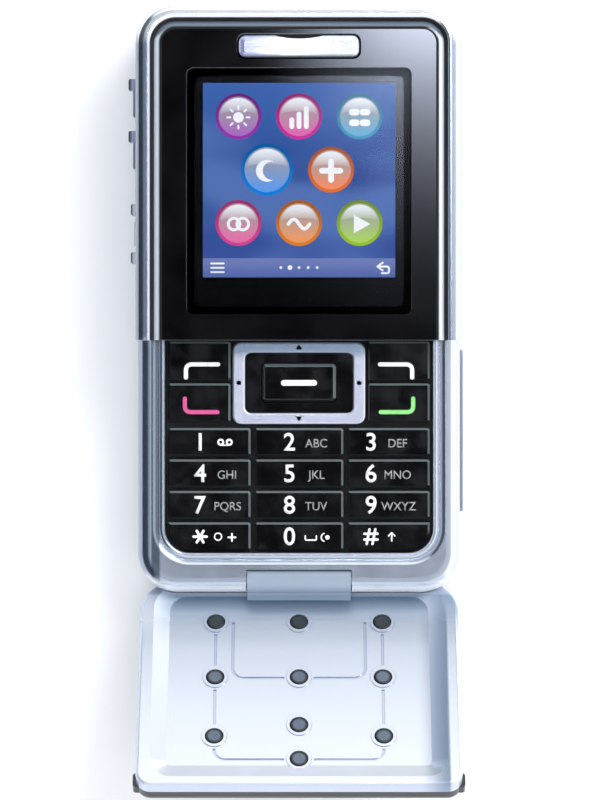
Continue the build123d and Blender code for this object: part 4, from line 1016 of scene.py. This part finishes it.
def lamp(name, place, size, power):
    """A soft square lamp aimed at the phone."""
    light = bpy.data.lights.new(name, "AREA")
    light.shape = "SQUARE"
    light.size = size
    light.energy = power
    made = bpy.data.objects.new(name, light)
    made.location = place
    made.rotation_mode = "QUATERNION"
    made.rotation_quaternion = (LAMP_AIM - Vector(place)).to_track_quat("-Z", "Y")
    made.visible_camera = False
    scene.collection.objects.link(made)
    return made


def floor_paint():
    """A pale floor with a slow drift of tone."""
    finish = Finish("pale_floor", (0.93, 0.93, 0.94), 0.7)
    drift = finish.noise(0.004, 2.0)
    return finish.color(finish.ramp(drift, (0.3, (0.92, 0.92, 0.93)), (0.7, (0.94, 0.94, 0.95))))


def wall_paint():
    """The far wall: white at the foot, a blue-grey band, white above it, and dimmer on the left."""
    finish = glowing("far_wall", 1.0)
    half = WALL_HEIGHT / 2
    height = finish.span(finish.along("Y"), -half, half, kind="LINEAR")
    tones = (
        (0.0, (1.1, 1.1, 1.1)),
        (0.30, (1.0, 1.02, 1.05)),
        (0.34, (0.10, 0.17, 0.26)),
        (0.42, (0.11, 0.19, 0.28)),
        (0.432, (0.33, 0.44, 0.55)),
        (0.445, (0.60, 0.69, 0.83)),
        (0.458, (0.76, 0.83, 0.93)),
        (0.463, (0.80, 0.87, 0.95)),
        (0.469, (1.10, 1.12, 1.14)),
        (0.55, (1.30, 1.30, 1.30)),
        (WALL_HEIGHT, (1.60, 1.60, 1.60)),
    )
    tone = finish.ramp(height, *((above / WALL_HEIGHT, color) for above, color in tones))
    leftward = finish.span(finish.along("X"), -0.2, -1.1)
    dim = finish.ramp(leftward, (0.0, WHITE), (1.0, (0.55, 0.62, 0.72)))
    finish.feed("Emission Color", finish.blend(1.0, tone, dim, "MULTIPLY"))
    return finish


def zenith_paint():
    """The card overhead: dark, with a glow that grows to its far right corner."""
    finish = glowing("zenith_card", 1.0)
    rightward = finish.span(finish.along("X"), 0.02, -0.07)
    farther = finish.span(finish.along("Y"), -0.13, 0.14, kind="LINEAR")
    glow = finish.both(rightward, finish.math("POWER", farther, 6.5))
    finish.feed("Emission Color", finish.blend(glow, BLACK, (21.5, 23.5, 29.0)))
    return finish


def studio_world():
    """Soft light from all round, bluer and dimmer on the left."""
    world = bpy.data.worlds.new("studio")
    world.use_nodes = True
    tree = world.node_tree
    direction = tree.nodes.new("ShaderNodeTexCoord")
    split = tree.nodes.new("ShaderNodeSeparateXYZ")
    rightward = tree.nodes.new("ShaderNodeMapRange")
    rightward.interpolation_type = "SMOOTHSTEP"
    rightward.inputs["From Min"].default_value = -0.9
    rightward.inputs["From Max"].default_value = 0.9
    tones = tree.nodes.new("ShaderNodeValToRGB")
    tones.color_ramp.elements[0].color = (0.45, 0.52, 0.63, 1)
    tones.color_ramp.elements[1].color = (0.95, 0.97, 1.0, 1)
    background = tree.nodes["Background"]
    background.inputs["Strength"].default_value = 0.8
    tree.links.new(direction.outputs["Generated"], split.inputs[0])
    tree.links.new(split.outputs["X"], rightward.inputs["Value"])
    tree.links.new(rightward.outputs["Result"], tones.inputs["Fac"])
    tree.links.new(tones.outputs["Color"], background.inputs["Color"])
    return world


floor = panel("floor", FLOOR_SIZE, FLOOR_SIZE, floor_paint())
floor.location.z = -FLOOR_DROP
scene.world = studio_world()

lamp("key_light", (0.5, 0.6, 0.9), size=0.5, power=6.0)
fill_light = lamp("fill_light", (-0.3, -0.2, 1.8), size=1.2, power=17.0)
fill_light.visible_glossy = False

card(
    "left_flag",
    glowing("left_flag", 1.0, (0.05, 0.065, 0.085)),
    centre=(-1.3, 0.0, CARD_MIDDLE),
    normal=(1, 0, 0),
    up=(0, 0, 1),
    width=3.6,
    height=CARD_HEIGHT,
)
card(
    "low_flag",
    glowing("low_flag", 1.0, (0.95, 1.0, 1.08)),
    centre=(0.0, -1.4, CARD_MIDDLE),
    normal=(0, 1, 0),
    up=(0, 0, 1),
    width=2.6,
    height=CARD_HEIGHT,
)
card(
    "right_glow",
    glowing("right_glow", 1.0, (1.7, 1.7, 1.7)),
    centre=(1.5, 0.0, 0.75),
    normal=(-1, 0, 0),
    up=(0, 0, 1),
    width=3.0,
    height=1.5,
)
card(
    "far_wall",
    wall_paint(),
    centre=(0.0, 1.6, WALL_HEIGHT / 2),
    normal=(0, -1, 0),
    up=(0, 0, 1),
    width=3.2,
    height=WALL_HEIGHT,
)
card(
    "zenith_card",
    zenith_paint(),
    centre=(0.0, 0.04, 1.5),
    normal=(0, 0, -1),
    up=(0, 1, 0),
    width=0.2,
    height=0.34,
)
